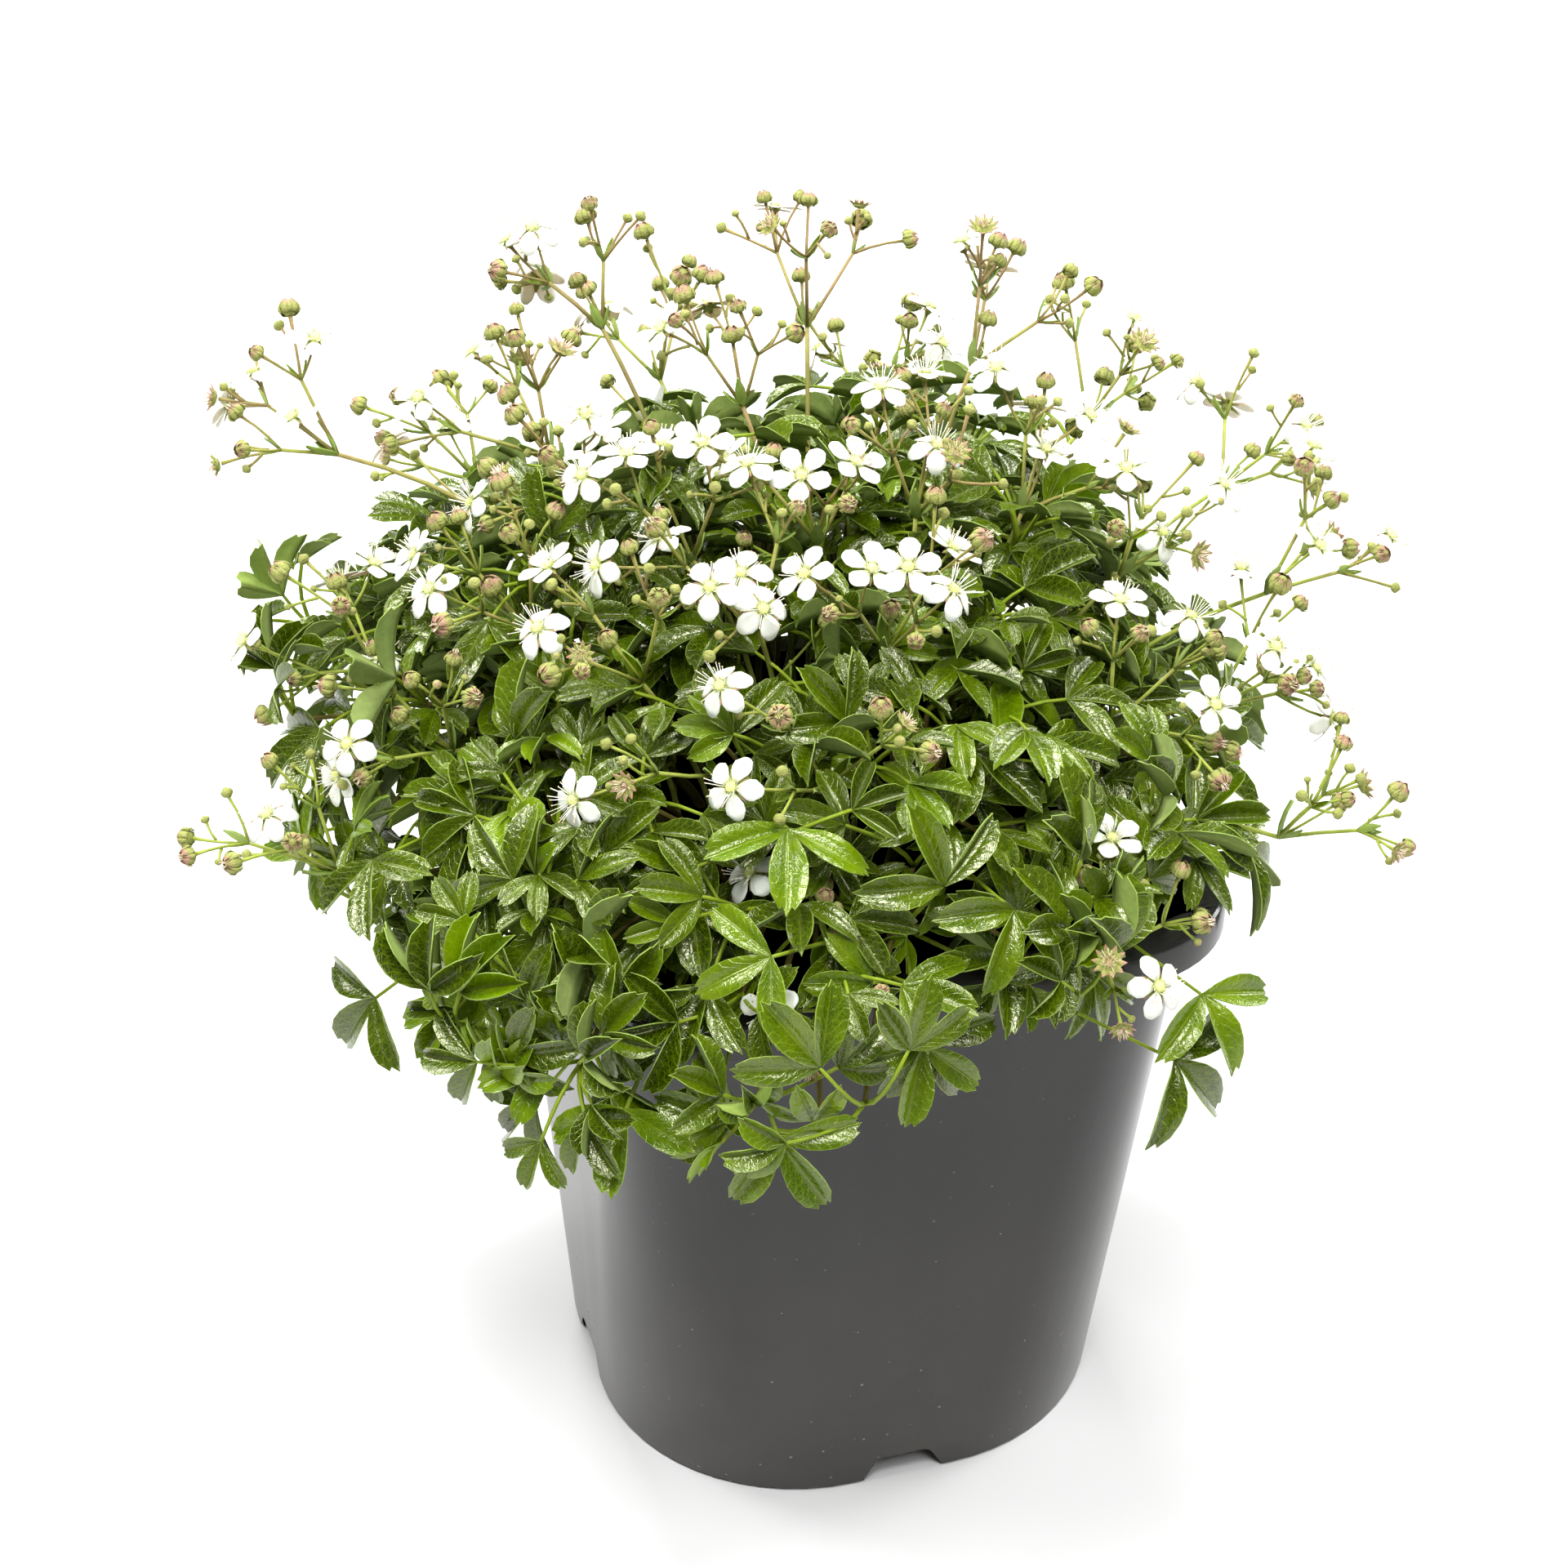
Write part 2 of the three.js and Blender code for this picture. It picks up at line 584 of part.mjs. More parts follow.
function shootSolid({ path, crown, axis, spin, leaves }) {
  const body = new Growth()
  const faces = body.stem(path, SHOOT_RADIUS, SHOOT_RADIUS, axis, level(axis, spin), 4)
  leaves.forEach((leaf, number) => {
    if (!leaf) {
      body.faces.push(faces[number])
      return
    }
    const { joint, side, axis: heading, normal, petiole } = leaf
    const under = along(along(joint, normal, -NECK.depth), petiole, -NECK.depth)
    const stalk = body.stalk(faces[number], crown, under, PETIOLE.radius, side)
    const neck = along(petiole, normal, 1).normalize()
    body.plate(stalk, leafOutline(leaf), neck, joint, normal, turned(heading, normal, -120))
  })
  return body.solid()
}

// The stems first, then the low heads, then the leaves that close round them, then the high heads
const stems = SPRAYS.map(sprayStem).filter(Boolean)
const lowSprays = stems.filter(({ fork }) => fork.z < LOW_FORK).map(sprayLayout)
const shoots = []
for (let index = 0; index < SHOOTS; index += 1) {
  const shoot = shootStem(index)
  if (shoot.path) shoots.push(shootLayout(shoot))
}
const sprays = [...lowSprays, ...stems.filter(({ fork }) => fork.z >= LOW_FORK).map(sprayLayout)]
const holes = [
  ...sprays.map(({ path }) => soilHole(path[0], STEM_RADIUS)),
  ...shoots.map(({ path }) => soilHole(path[0], SHOOT_RADIUS)),
]

const group = new THREE.Group()
group.add(mesh('pot', potSolid(), 0x4b4a49, 0.45))
group.add(mesh('soil', soilSolid(holes), 0x2a211a, 0.95))
for (const shoot of shoots) group.add(mesh(shoot.owner, shootSolid(shoot), 0x3f6b23, 0.4))
for (const spray of sprays) group.add(mesh(spray.owner, spraySolid(spray), 0xb9bf86, 0.55))

export default group
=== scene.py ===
# %% [markdown]
# A nursery pot of three-toothed cinquefoil, in flower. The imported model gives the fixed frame:
# a pot, the soil in it, leafy shoots and flower sprays as plain solids. This lesson dresses each
# of them: it works out the same places for every leaf and flower as the solids have, grows finer
# leaves, petals, stamens and buds there, and adds the many leaves that close the mound.
# Lengths in the layout are millimetres. A mesh turns them into metres when it is made.

# %% Frame
import math

import bmesh
import bpy
import numpy as np
from mathutils import Matrix, Vector, noise


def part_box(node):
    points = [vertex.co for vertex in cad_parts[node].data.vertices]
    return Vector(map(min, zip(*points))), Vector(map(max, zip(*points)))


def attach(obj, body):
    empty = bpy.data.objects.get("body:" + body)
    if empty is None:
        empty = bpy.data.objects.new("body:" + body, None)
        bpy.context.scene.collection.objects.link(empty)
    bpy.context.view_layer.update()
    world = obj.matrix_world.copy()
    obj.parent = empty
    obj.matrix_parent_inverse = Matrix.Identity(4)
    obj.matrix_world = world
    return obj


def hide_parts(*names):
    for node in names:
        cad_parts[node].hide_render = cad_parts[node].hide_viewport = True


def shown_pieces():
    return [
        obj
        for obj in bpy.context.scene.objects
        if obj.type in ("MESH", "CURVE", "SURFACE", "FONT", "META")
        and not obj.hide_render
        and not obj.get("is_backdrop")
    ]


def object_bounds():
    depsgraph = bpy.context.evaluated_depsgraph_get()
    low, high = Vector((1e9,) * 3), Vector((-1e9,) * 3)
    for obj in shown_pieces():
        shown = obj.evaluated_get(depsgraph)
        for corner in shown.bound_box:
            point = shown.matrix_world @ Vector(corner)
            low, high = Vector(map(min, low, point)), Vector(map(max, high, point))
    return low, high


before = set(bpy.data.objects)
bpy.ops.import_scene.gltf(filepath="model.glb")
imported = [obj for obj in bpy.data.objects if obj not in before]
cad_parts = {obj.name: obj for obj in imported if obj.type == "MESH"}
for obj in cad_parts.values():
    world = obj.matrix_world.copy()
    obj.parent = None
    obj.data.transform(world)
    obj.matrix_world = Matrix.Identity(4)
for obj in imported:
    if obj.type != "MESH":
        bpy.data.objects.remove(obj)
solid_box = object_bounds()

MM = 0.001

# %% [markdown]
# The photograph looks down on the plant from the front left. The camera goes first, so that every
# later piece can be judged through it. A long lens from about two thirds of a metre fits the way
# that the pot's sides run together.

# %% Camera
VIEW_BEARING, VIEW_HEIGHT = -16.5, 33
CAMERA_DISTANCE, NEAREST = 0.62, 0.05
LOOKS_AT_SIDE, LOOKS_AT_HEIGHT = -0.0093, 0.136
LENS, SENSOR = 72.8, 36

azimuth, elevation = math.radians(VIEW_BEARING), math.radians(VIEW_HEIGHT)
right = Vector((math.cos(azimuth), math.sin(azimuth), 0))
back = Vector((math.sin(azimuth) * math.cos(elevation), -math.cos(azimuth) * math.cos(elevation),
               math.sin(elevation)))
looks_at = right * LOOKS_AT_SIDE + Vector((0, 0, LOOKS_AT_HEIGHT))
lens = bpy.data.cameras.new("camera")
lens.lens, lens.sensor_width, lens.clip_start = LENS, SENSOR, NEAREST
camera = bpy.data.objects.new("camera", lens)
turn = Matrix((right, back.cross(right), back)).transposed().to_4x4()
camera.matrix_world = Matrix.Translation(looks_at + back * CAMERA_DISTANCE) @ turn
bpy.context.scene.collection.objects.link(camera)
bpy.context.scene.camera = camera
print("camera at", [round(x, 3) for x in camera.matrix_world.translation])

# %% [markdown]
# The solids were placed by a seeded rule. Running the same rule here, with the same draws in the
# same order, gives each leaf's joint and each flower's middle, so nothing has to be fitted by eye.
# The first cell holds the rule's sizes.

# %% Sizes of the layout
FOOT = {"half": 53, "corner": 42.5, "z": 0}
WALL_TOP = {"half": 58, "corner": 17, "z": 131}
RIM = {"half": 65, "corner": 26, "z": 132}
MOUTH = {"half": 57.4, "corner": 18.5}
WALL = 1.5
GAP = 0.3
SOIL_TOP, SOIL_RELIEF, HOLE_DEPTH, UPRIGHT = 122, 1.3, 8, 3

MOUND = {"x": -8, "y": 3, "z": 128, "radius": 97, "height": 52}
GOLDEN_ANGLE = 137.5
SHOOTS, SHOOT_RADIUS, LEAF_SIDES, SHOOT_RISE = 26, 1.2, 4, 0.2
TRIALS = {"stem": 100, "shoot": 60, "branch": 150, "leaf": 80, "added": 6}
CROWN = {"widest": 96, "spread": 0.62, "lowest": 140, "polar": (0.85, 1), "sway": (-11, 11),
         "shell": (0.5, 0.66)}
SHOOT_FOOT = {"reach": (0.4, 0.8), "lift": (0.3, 0.6), "margin": 6}
FOOT_SHIFT = (-4, 4)
LEAF = {"tilt": (16, 66), "sway": (-32, 32), "shell": (0.76, 1.04), "raise": (0.3, 1),
        "roll": (-25, 25)}
PETIOLE = {"radius": 0.55, "shortest": 11, "longest": 58, "apart": 32, "bare": 5}
LEAFLET = {"length": (14, 17.5), "width": 0.25, "spread": 66, "fold": 0.1, "droop": 0.1}
BEND = {"shift": (-15, 15), "most": 62}

STEM_RADIUS = 0.75
STEM_FOOT = {"share": 0.55, "reach": 46, "near": (0.8, 1), "lift": (0.4, 0.7)}
FORK_DROP, LEAN_HEIGHT, LOW_FORK = 24, 100, 180
BRANCH = {"radius": 0.55, "length": (11, 18), "tilt": (20, 46), "sway": (-25, 25), "apart": 30}
PEDICEL = {"radius": 0.45, "length": (9, 16), "tilt": (24, 42), "sway": (-20, 20), "apart": 35}
FLOWER = {"radius": 5.5, "lift": 0.4, "ring": 0.62, "middle_sample": 2.2, "petal_sample": 2.4}
BUD = {"radius": 2, "size": (0.6, 1)}
BLADE_ROWS, BLADE_COLUMNS = (0.2, 0.36, 0.52, 0.68, 0.84, 0.96), (-0.78, -0.26, 0.26, 0.78)
CLEARANCE, SAMPLE_STEP, BLADE_SAMPLE, FORK_CLEAR = 0.4, 1.5, 1.6, 3

SPRAYS = [
    (-112, 25, 213, 1), (-86, 74, 186, 1), (-67, 26, 216, 1), (-55, 58, 230, 2), (-42, 88, 205, 1),
    (-22, 36, 226, 2), (-6, 62, 231, 1), (12, 92, 196, 2), (34, 50, 227, 2), (64, 84, 196, 2),
    (46, 22, 208, 2), (95, 66, 188, 2), (99, 6, 193, 2), (68, 10, 198, 3), (88, -10, 177, 3),
    (64, -24, 181, 3), (100, -32, 158, 0), (58, -66, 152, 1), (2, -80, 152, 2), (-2, -58, 186, 2),
    (-26, -60, 189, 3), (-44, -38, 198, 2), (-18, -32, 208, 3), (12, -30, 202, 2), (-86, -28, 176, 2),
    (-110, -36, 152, 0), (-104, -2, 180, 2), (-70, -12, 195, 2), (-58, 6, 212, 2), (-34, -8, 212, 3),
    (-4, -4, 215, 2), (20, 6, 216, 2),
]
print("sprays:", len(SPRAYS), "open flowers wanted:", sum(spray[3] for spray in SPRAYS))

# %% [markdown]
# Directions are plain arrays of three numbers at full precision. A draw from a stream gives the
# next number of a fixed row, so the plant is the same each time.

# %% Directions and seeded draws
UP = np.array((0.0, 0.0, 1.0))


def vec(x, y, z):
    return np.array((x, y, z), float)


def unit(v):
    return v / math.sqrt(v.dot(v))


def cross(a, b):
    return vec(a[1] * b[2] - a[2] * b[1], a[2] * b[0] - a[0] * b[2], a[0] * b[1] - a[1] * b[0])


def far(a, b):
    return math.sqrt((b - a).dot(b - a))


def turned(v, axis, degrees):
    angle = math.radians(degrees)
    return (v * math.cos(angle) + cross(axis, v) * math.sin(angle)
            + axis * (axis.dot(v) * (1 - math.cos(angle))))


def level(axis, azimuth):
    return turned(unit(vec(axis[2], 0, -axis[0])), axis, azimuth)


def leaning(axis, azimuth, tilt):
    angle = math.radians(tilt)
    return axis * math.cos(angle) + level(axis, azimuth) * math.sin(angle)


def degrees_between(a, b):
    return math.degrees(math.acos(max(-1, min(1, unit(a).dot(unit(b))))))


LARGEST, FIRST_FACTOR, FACTOR = 2147483647, 48271, 16807


def stream(key):
    state = key * FIRST_FACTOR % LARGEST

    def draw(low, high):
        nonlocal state
        state = state * FACTOR % LARGEST
        return low + (high - low) * state / LARGEST

    return draw


print("first draw of stream 9:", round(stream(9)(0, 1), 4))

# %% [markdown]
# Pieces keep clear of each other by samples: points with the radius that each one covers. A table
# row is x, y, z, radius. Each thing placed is kept with the ball that holds it, so that most
# things are ruled out by one distance.

# %% Samples and clearance
placed = {"owners": [], "samples": [], "balls": np.zeros((0, 4))}


def samples_at(points, radius):
    points = np.atleast_2d(points)
    return np.column_stack((points, np.full(len(points), radius)))


def apart(some, others, clearance=CLEARANCE):
    gaps = np.linalg.norm(some[:, None, :3] - others[None, :, :3], axis=2)
    return bool((gaps > some[:, None, 3] + others[None, :, 3] + clearance).all())


def ball_round(samples):
    middle = samples[:, :3].mean(axis=0)
    reach = (np.linalg.norm(samples[:, :3] - middle, axis=1) + samples[:, 3]).max()
    return (*middle, CLEARANCE + reach)


def clear(samples, owner, clearance=CLEARANCE):
    own, balls = np.array(ball_round(samples)), placed["balls"]
    near = np.linalg.norm(balls[:, :3] - own[:3], axis=1) < balls[:, 3] + own[3]
    return all(placed["owners"][index] == owner or apart(samples, placed["samples"][index], clearance)
               for index in np.nonzero(near)[0])


def keep(samples, owner):
    placed["owners"].append(owner)
    placed["samples"].append(samples)
    placed["balls"] = np.vstack((placed["balls"], ball_round(samples)))


def line_samples(start, end, radius):
    steps = math.ceil(far(start, end) / SAMPLE_STEP)
    share = (np.arange(steps + 1) / steps)[:, None]
    return samples_at(start + (end - start) * share, radius + GAP)


def path_samples(path, radius):
    return np.vstack([line_samples(a, b, radius + GAP) for a, b in zip(path, path[1:])])


def reach_past(points, shape):
    """How far points lie outside a rounded square, or inside it where negative"""
    beyond = np.maximum(np.abs(points[:, :2]) - shape["half"] + shape["corner"], 0)
    return np.hypot(beyond[:, 0], beyond[:, 1]) - shape["corner"]


def clear_of_pot(samples):
    z, radius = samples[:, 2], samples[:, 3]
    over = z - radius > RIM["z"] + CLEARANCE
    outside = reach_past(samples, RIM) > radius + CLEARANCE
    inside = (reach_past(samples, MOUTH) < -radius - CLEARANCE) & (z - radius > SOIL_TOP + SOIL_RELIEF)
    return bool((over | outside | inside).all())


def first_fit(attempts, trial):
    return next((found for found in (trial() for _ in range(attempts)) if found), None)


# %% [markdown]
# A stem stands upright in its hole and then leans over to its end, on a curve with one control
# point straight above its foot.

# %% Stems
def curve_points(start, control, end, steps):
    share = (np.arange(steps + 1) / steps)[:, None]
    return start * (1 - share) ** 2 + control * 2 * share * (1 - share) + end * share ** 2


def standing(foot, end, lift, steps=3):
    start = vec(foot[0], foot[1], SOIL_TOP + UPRIGHT)
    control = start + UP * (lift * far(start, end))
    bottom = vec(foot[0], foot[1], SOIL_TOP - HOLE_DEPTH + GAP)
    return [bottom, *curve_points(start, control, end, steps)]


def spray_stem(index, side, behind, height, flowers):
    owner, draw = f"spray_{index + 1:02d}", stream(101 + index)
    head = turned(vec(side, behind, height), UP, VIEW_BEARING)
    lean = unit(vec(head[0], head[1], LEAN_HEIGHT))
    fork = head - lean * FORK_DROP
    share = min(STEM_FOOT["share"], STEM_FOOT["reach"] / math.hypot(head[0], head[1]))

    def trial():
        x = head[0] * share * draw(*STEM_FOOT["near"]) + draw(*FOOT_SHIFT)
        y = head[1] * share * draw(*STEM_FOOT["near"]) + draw(*FOOT_SHIFT)
        lift = draw(*STEM_FOOT["lift"])
        fits = clear(path_samples(standing(vec(x, y, 0), fork, lift), STEM_RADIUS), owner)
        return fits and (vec(x, y, 0), lift)

    foot, lift = first_fit(TRIALS["stem"], trial)
    keep(path_samples(standing(foot, fork, lift), STEM_RADIUS), owner)
    return {"owner": owner, "draw": draw, "flowers": flowers, "lean": lean, "fork": fork,
            "line": standing(foot, fork, lift, 12), "spin": draw(0, 120)}


def crown_at(tilt, bearing, scale):
    ring = MOUND["radius"] * scale * math.sin(math.radians(tilt))
    z = max(MOUND["z"] + MOUND["height"] * scale * math.cos(math.radians(tilt)), CROWN["lowest"])
    return vec(MOUND["x"], MOUND["y"], z) + turned(vec(1, 0, 0), UP, bearing) * ring


def shoot_stem(index):
    owner, draw = f"shoot_{index + 1:02d}", stream(301 + index)
    polar = CROWN["widest"] * ((index + 0.5) / SHOOTS) ** CROWN["spread"]

    def trial():
        tilt = polar * draw(*CROWN["polar"])
        bearing = GOLDEN_ANGLE * index + draw(*CROWN["sway"])
        crown = crown_at(tilt, bearing, draw(*CROWN["shell"]))
        x = crown[0] * draw(*SHOOT_FOOT["reach"]) + draw(*FOOT_SHIFT)
        y = crown[1] * draw(*SHOOT_FOOT["reach"]) + draw(*FOOT_SHIFT)
        foot, lift = vec(x, y, 0), draw(*SHOOT_FOOT["lift"])
        inside = reach_past(foot[None], MOUTH)[0] < -SHOOT_FOOT["margin"]
        fits = inside and clear(path_samples(standing(foot, crown, lift), SHOOT_RADIUS), owner)
        return fits and (foot, crown, lift)

    foot, crown, lift = first_fit(TRIALS["shoot"], trial)
    keep(path_samples(standing(foot, crown, lift), SHOOT_RADIUS), owner)
    return {"owner": owner, "draw": draw, "crown": crown, "line": standing(foot, crown, lift, 8)}


# %% [markdown]
# A flower head is a stem that forks in three. Each branch forks in two pedicels, and each pedicel
# carries an open flower or a bud.

# %% Flower heads
def flower_samples(point, normal):
    reach = FLOWER["radius"] * FLOWER["ring"]
    ring = [point + level(normal, turn) * reach for turn in range(0, 360, 60)]
    return np.vstack((samples_at(point, FLOWER["middle_sample"]),
                      samples_at(ring, FLOWER["petal_sample"])))


def bud_samples(point, heading, size):
    return samples_at(point + heading * (size * 0.4), size * 1.3)


def branch_layout(fork, direction, flowers, draw):
    end = fork + direction * draw(*BRANCH["length"])
    spin = draw(0, 120)
    ends = []
    for i in range(2):
        sway, tilt = draw(*PEDICEL["sway"]), draw(*PEDICEL["tilt"])
        heading = leaning(direction, spin + 60 + 120 * i + sway, tilt)
        tip = end + heading * draw(*PEDICEL["length"])
        normal = unit(heading + UP * FLOWER["lift"])
        size = draw(*BUD["size"]) * BUD["radius"]
        opened = i < flowers
        head = flower_samples(tip, normal) if opened else bud_samples(tip, heading, size)
        stalk = line_samples(end + heading * FORK_CLEAR, tip, PEDICEL["radius"])
        ends.append({"heading": heading, "tip": tip, "open": opened, "normal": normal, "size": size,
                     "samples": np.vstack((stalk, head))})
    inner = line_samples(fork + direction * FORK_CLEAR, end, BRANCH["radius"])
    outer = np.vstack([one["samples"] for one in ends])
    fits = (degrees_between(ends[0]["heading"], ends[1]["heading"]) > PEDICEL["apart"]
            and apart(ends[0]["samples"], ends[1]["samples"]))
    return {"direction": direction, "end": end, "spin": spin, "ends": ends, "inner": inner,
            "outer": outer, "all": np.vstack((inner, outer)), "fits": fits}


def spray_layout(spray):
    draw, branches = spray["draw"], []
    for arm in range(3):
        flowers = (spray["flowers"] + 2 - arm) // 3

        def trial():
            sway, tilt = draw(*BRANCH["sway"]), draw(*BRANCH["tilt"])
            direction = leaning(spray["lean"], spray["spin"] + 60 + 120 * arm + sway, tilt)
            found = branch_layout(spray["fork"], direction, flowers, draw)
            own = all(degrees_between(other["direction"], direction) > BRANCH["apart"]
                      and apart(found["outer"], other["all"])
                      and apart(found["inner"], other["outer"])
                      for other in branches if other)
            return (found["fits"] and own and clear_of_pot(found["all"])
                    and clear(found["all"], spray["owner"]) and found)

        branch = first_fit(TRIALS["branch"], trial)
        if branch:
            keep(branch["all"], spray["owner"])
        branches.append(branch)
    return {**spray, "branches": branches}


# %% [markdown]
# A leaf hangs on its petiole's end, the joint. Its blade bends back from the petiole, so that it
# faces outward and up, and its three leaflets spread from the joint.

# %% Leaves
def leaf_layout(root, joint, facing, draw, opening=1):
    petiole = unit(joint - root)
    side = turned(unit(cross(facing, petiole)), petiole, draw(*LEAF["roll"]))
    upper = unit(cross(petiole, side))
    wanted = math.degrees(math.atan2(facing.dot(petiole), facing.dot(upper)))
    bend = min(max(wanted + draw(*BEND["shift"]), 0), BEND["most"]) * opening
    return {"joint": joint, "petiole": petiole, "side": side, "axis": turned(petiole, side, bend),
            "normal": turned(upper, side, bend), "length": draw(*LEAFLET["length"]),
            "spread": LEAFLET["spread"]}


def leaflet_sides(leaf):
    """Axis and side direction of each of a leaf's three leaflets"""
    return [[turned(leaf[key], leaf["normal"], turn) for key in ("axis", "side")]
            for turn in (-leaf["spread"], 0, leaf["spread"])]


def leaf_samples(leaf, radius=BLADE_SAMPLE):
    u = np.repeat(BLADE_ROWS, len(BLADE_COLUMNS))[:, None]
    v = np.tile(BLADE_COLUMNS, len(BLADE_ROWS))[:, None] * np.minimum(1, u + 0.2)
    rise = LEAFLET["fold"] * np.abs(v) - LEAFLET["droop"] * u * u
    rows = [leaf["joint"] + (axis * u + side * v * LEAFLET["width"] + leaf["normal"] * rise)
            * leaf["length"] for axis, side in leaflet_sides(leaf)]
    return samples_at(np.vstack(rows), radius)


def on_mound(start, direction, scale):
    """Where a ray from inside the mound meets its surface"""
    squash = np.array((MOUND["radius"], MOUND["radius"], MOUND["height"]), float)
    origin, ray = (start - vec(MOUND["x"], MOUND["y"], MOUND["z"])) / squash, direction / squash
    a, b, c = ray.dot(ray), origin.dot(ray), origin.dot(origin) - scale * scale
    return start + direction * ((math.sqrt(b * b - a * c) - b) / a)


def shoot_layout(shoot):
    crown, draw, leaves = shoot["crown"], shoot["draw"], []
    centre = vec(MOUND["x"], MOUND["y"], MOUND["z"])
    axis = unit(unit(crown - vec(MOUND["x"], MOUND["y"], SOIL_TOP)) + UP * SHOOT_RISE)
    spin = draw(0, 90)
    for number in range(LEAF_SIDES):

        def trial():
            sway, tilt = draw(*LEAF["sway"]), draw(*LEAF["tilt"])
            heading = leaning(axis, spin + 45 + 90 * number + sway, tilt)
            joint = on_mound(crown, heading, draw(*LEAF["shell"]))
            facing = unit(unit(joint - centre) + UP * draw(*LEAF["raise"]))
            leaf = leaf_layout(crown, joint, facing, draw)
            if not PETIOLE["shortest"] <= far(joint, crown) <= PETIOLE["longest"]:
                return None
            blade = leaf_samples(leaf)
            stalk = line_samples(crown + heading * PETIOLE["bare"], joint, PETIOLE["radius"])
            leaf.update(blade=blade, samples=np.vstack((blade, stalk)))
            own = all(degrees_between(other["petiole"], heading) > PETIOLE["apart"]
                      and apart(blade, other["samples"]) and apart(leaf["samples"], other["blade"])
                      for other in leaves if other)
            return (own and clear_of_pot(leaf["samples"])
                    and clear(leaf["samples"], shoot["owner"]) and leaf)

        leaf = first_fit(TRIALS["leaf"], trial)
        if leaf:
            keep(leaf["samples"], shoot["owner"])
        leaves.append(leaf)
    return {**shoot, "axis": axis, "leaves": [leaf for leaf in leaves if leaf]}


# %% [markdown]
# The stems of all sprays come first, then the heads of the low sprays, the leafy shoots, and the
# heads of the high sprays. The joints and tips are compared with the boxes of the solids.

# %% The whole layout, in the solids' own order
stems = [spray_stem(index, *spray) for index, spray in enumerate(SPRAYS)]
sprays = [spray_layout(stem) for stem in stems if stem["fork"][2] < LOW_FORK]
shoots = [shoot_layout(shoot_stem(index)) for index in range(SHOOTS)]
sprays += [spray_layout(stem) for stem in stems if stem["fork"][2] >= LOW_FORK]


def outside_box(point, node):
    low, high = (np.array(corner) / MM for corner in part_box(node))
    return float(np.maximum(np.maximum(low - point, point - high), 0).max())


ends = [(end, spray["owner"]) for spray in sprays for branch in spray["branches"] if branch
        for end in branch["ends"]]
misfits = [outside_box(leaf["joint"], shoot["owner"]) for shoot in shoots for leaf in shoot["leaves"]]
misfits += [outside_box(end["tip"], owner) for end, owner in ends]
print("leaves:", sum(len(shoot["leaves"]) for shoot in shoots),
      "flowers:", sum(end["open"] for end, owner in ends),
      "worst misfit to the solids in mm:", round(max(misfits), 3))

# %% [markdown]
# The real plant has several hundred leaves where the solids have under a hundred, so more are
# grown from the same shoots. Side twigs are spread evenly through the mound, in shells, by the
# golden angle, and each one joins the nearest shoot. It ends in a small rosette: a few leaves whose
# petioles lean out on all sides, so that the leaflets stand up like fans. The mound is higher at
# the back, and leaves hang over the rim at the front left only. A leaf is tried elsewhere if it
# would cut through another one or the pot, or stand out of the outline that the photograph shows.
# At the end, the leaves that lie far from every solid are left out, so that the mound keeps the
# solids' form from all sides.

# %% More leaves for the same shoots
ROSETTES, HANGING_ROSETTES, ROSETTE_LEAVES = 340, 100, 8
ROSETTE_SHELLS, SHELL_SPREAD = (0.84, 0.68, 1.0, 0.76, 0.88, 0.6, 1.1, 0.8), (0.95, 1.04)
FRONT_BEARING, FRONT_ARC, FRONT_SHELL = -106.5, 80, 0.86
WIDEST, HANGING = 92, 124
HANGS_TO, HANGS_OVER, HANG_REACH, RIM_TILT, RIM_RANGE = -122, 66, 0.26, 72, 50
BACK_BEARING, BACK_REACH, BACK_LIFT = 73.5, 0.14, 12
STALK = {"tilt": (14, 78), "sway": (-25, 25), "short": 7, "long": 13, "long_at": 70,
         "length": (0.7, 1.1), "bend": (0.3, 0.25), "opening": (0.05, 0.75), "rise": (0, 0.5),
         "aside": (-0.3, 0.3)}
ADDED = {"length": (0.62, 0.98), "spread": (0.78, 1.02), "young_shut": 0.4, "age_tilt": 160,
         "low_age": 0.25, "turned_over": 0.08, "twist": (-150, 150)}
TWIG = {"radius": 0.7, "longest": 70, "lift": (0.2, 0.4), "outward": (0.6, 1), "rise": (0.1, 0.8),
        "low_rise": (-0.2, 0.5), "low": 14, "crowding": 3}
THIN_BLADE, THIN_GAP = 0.3, 0
BOX_MARGIN, SOLID_REACH = 0.6, 18
PIXELS = 1920
OUTLINE_MIDDLE, OUTLINE_TIGHT, TIGHT_SHARE = (940, 960), 1.13, 0.72
LEAFY_OUTLINE = [
    (310, 535), (400, 500), (480, 510), (600, 490), (740, 515), (835, 465), (925, 455), (1070, 465),
    (1240, 455), (1300, 540), (1390, 570), (1450, 650), (1510, 760), (1550, 860), (1585, 1040),
    (1530, 1110), (1470, 1190), (1480, 1250), (1400, 1245), (1330, 1318), (1210, 1320), (1140, 1375),
    (1040, 1415), (1000, 1480), (900, 1455), (830, 1460), (700, 1480), (640, 1480), (590, 1390),
    (520, 1340), (475, 1290), (475, 1200), (410, 1145), (270, 1035), (270, 960), (350, 900),
    (275, 830), (285, 650),
]


def seen_at(point):
    """Where a point in millimetres falls in the photograph's pixels"""
    offset = Vector(point) * MM - camera.matrix_world.translation
    scale = LENS / SENSOR * PIXELS / -offset.dot(back)
    return PIXELS / 2 + scale * offset.dot(right), PIXELS / 2 - scale * offset.dot(back.cross(right))


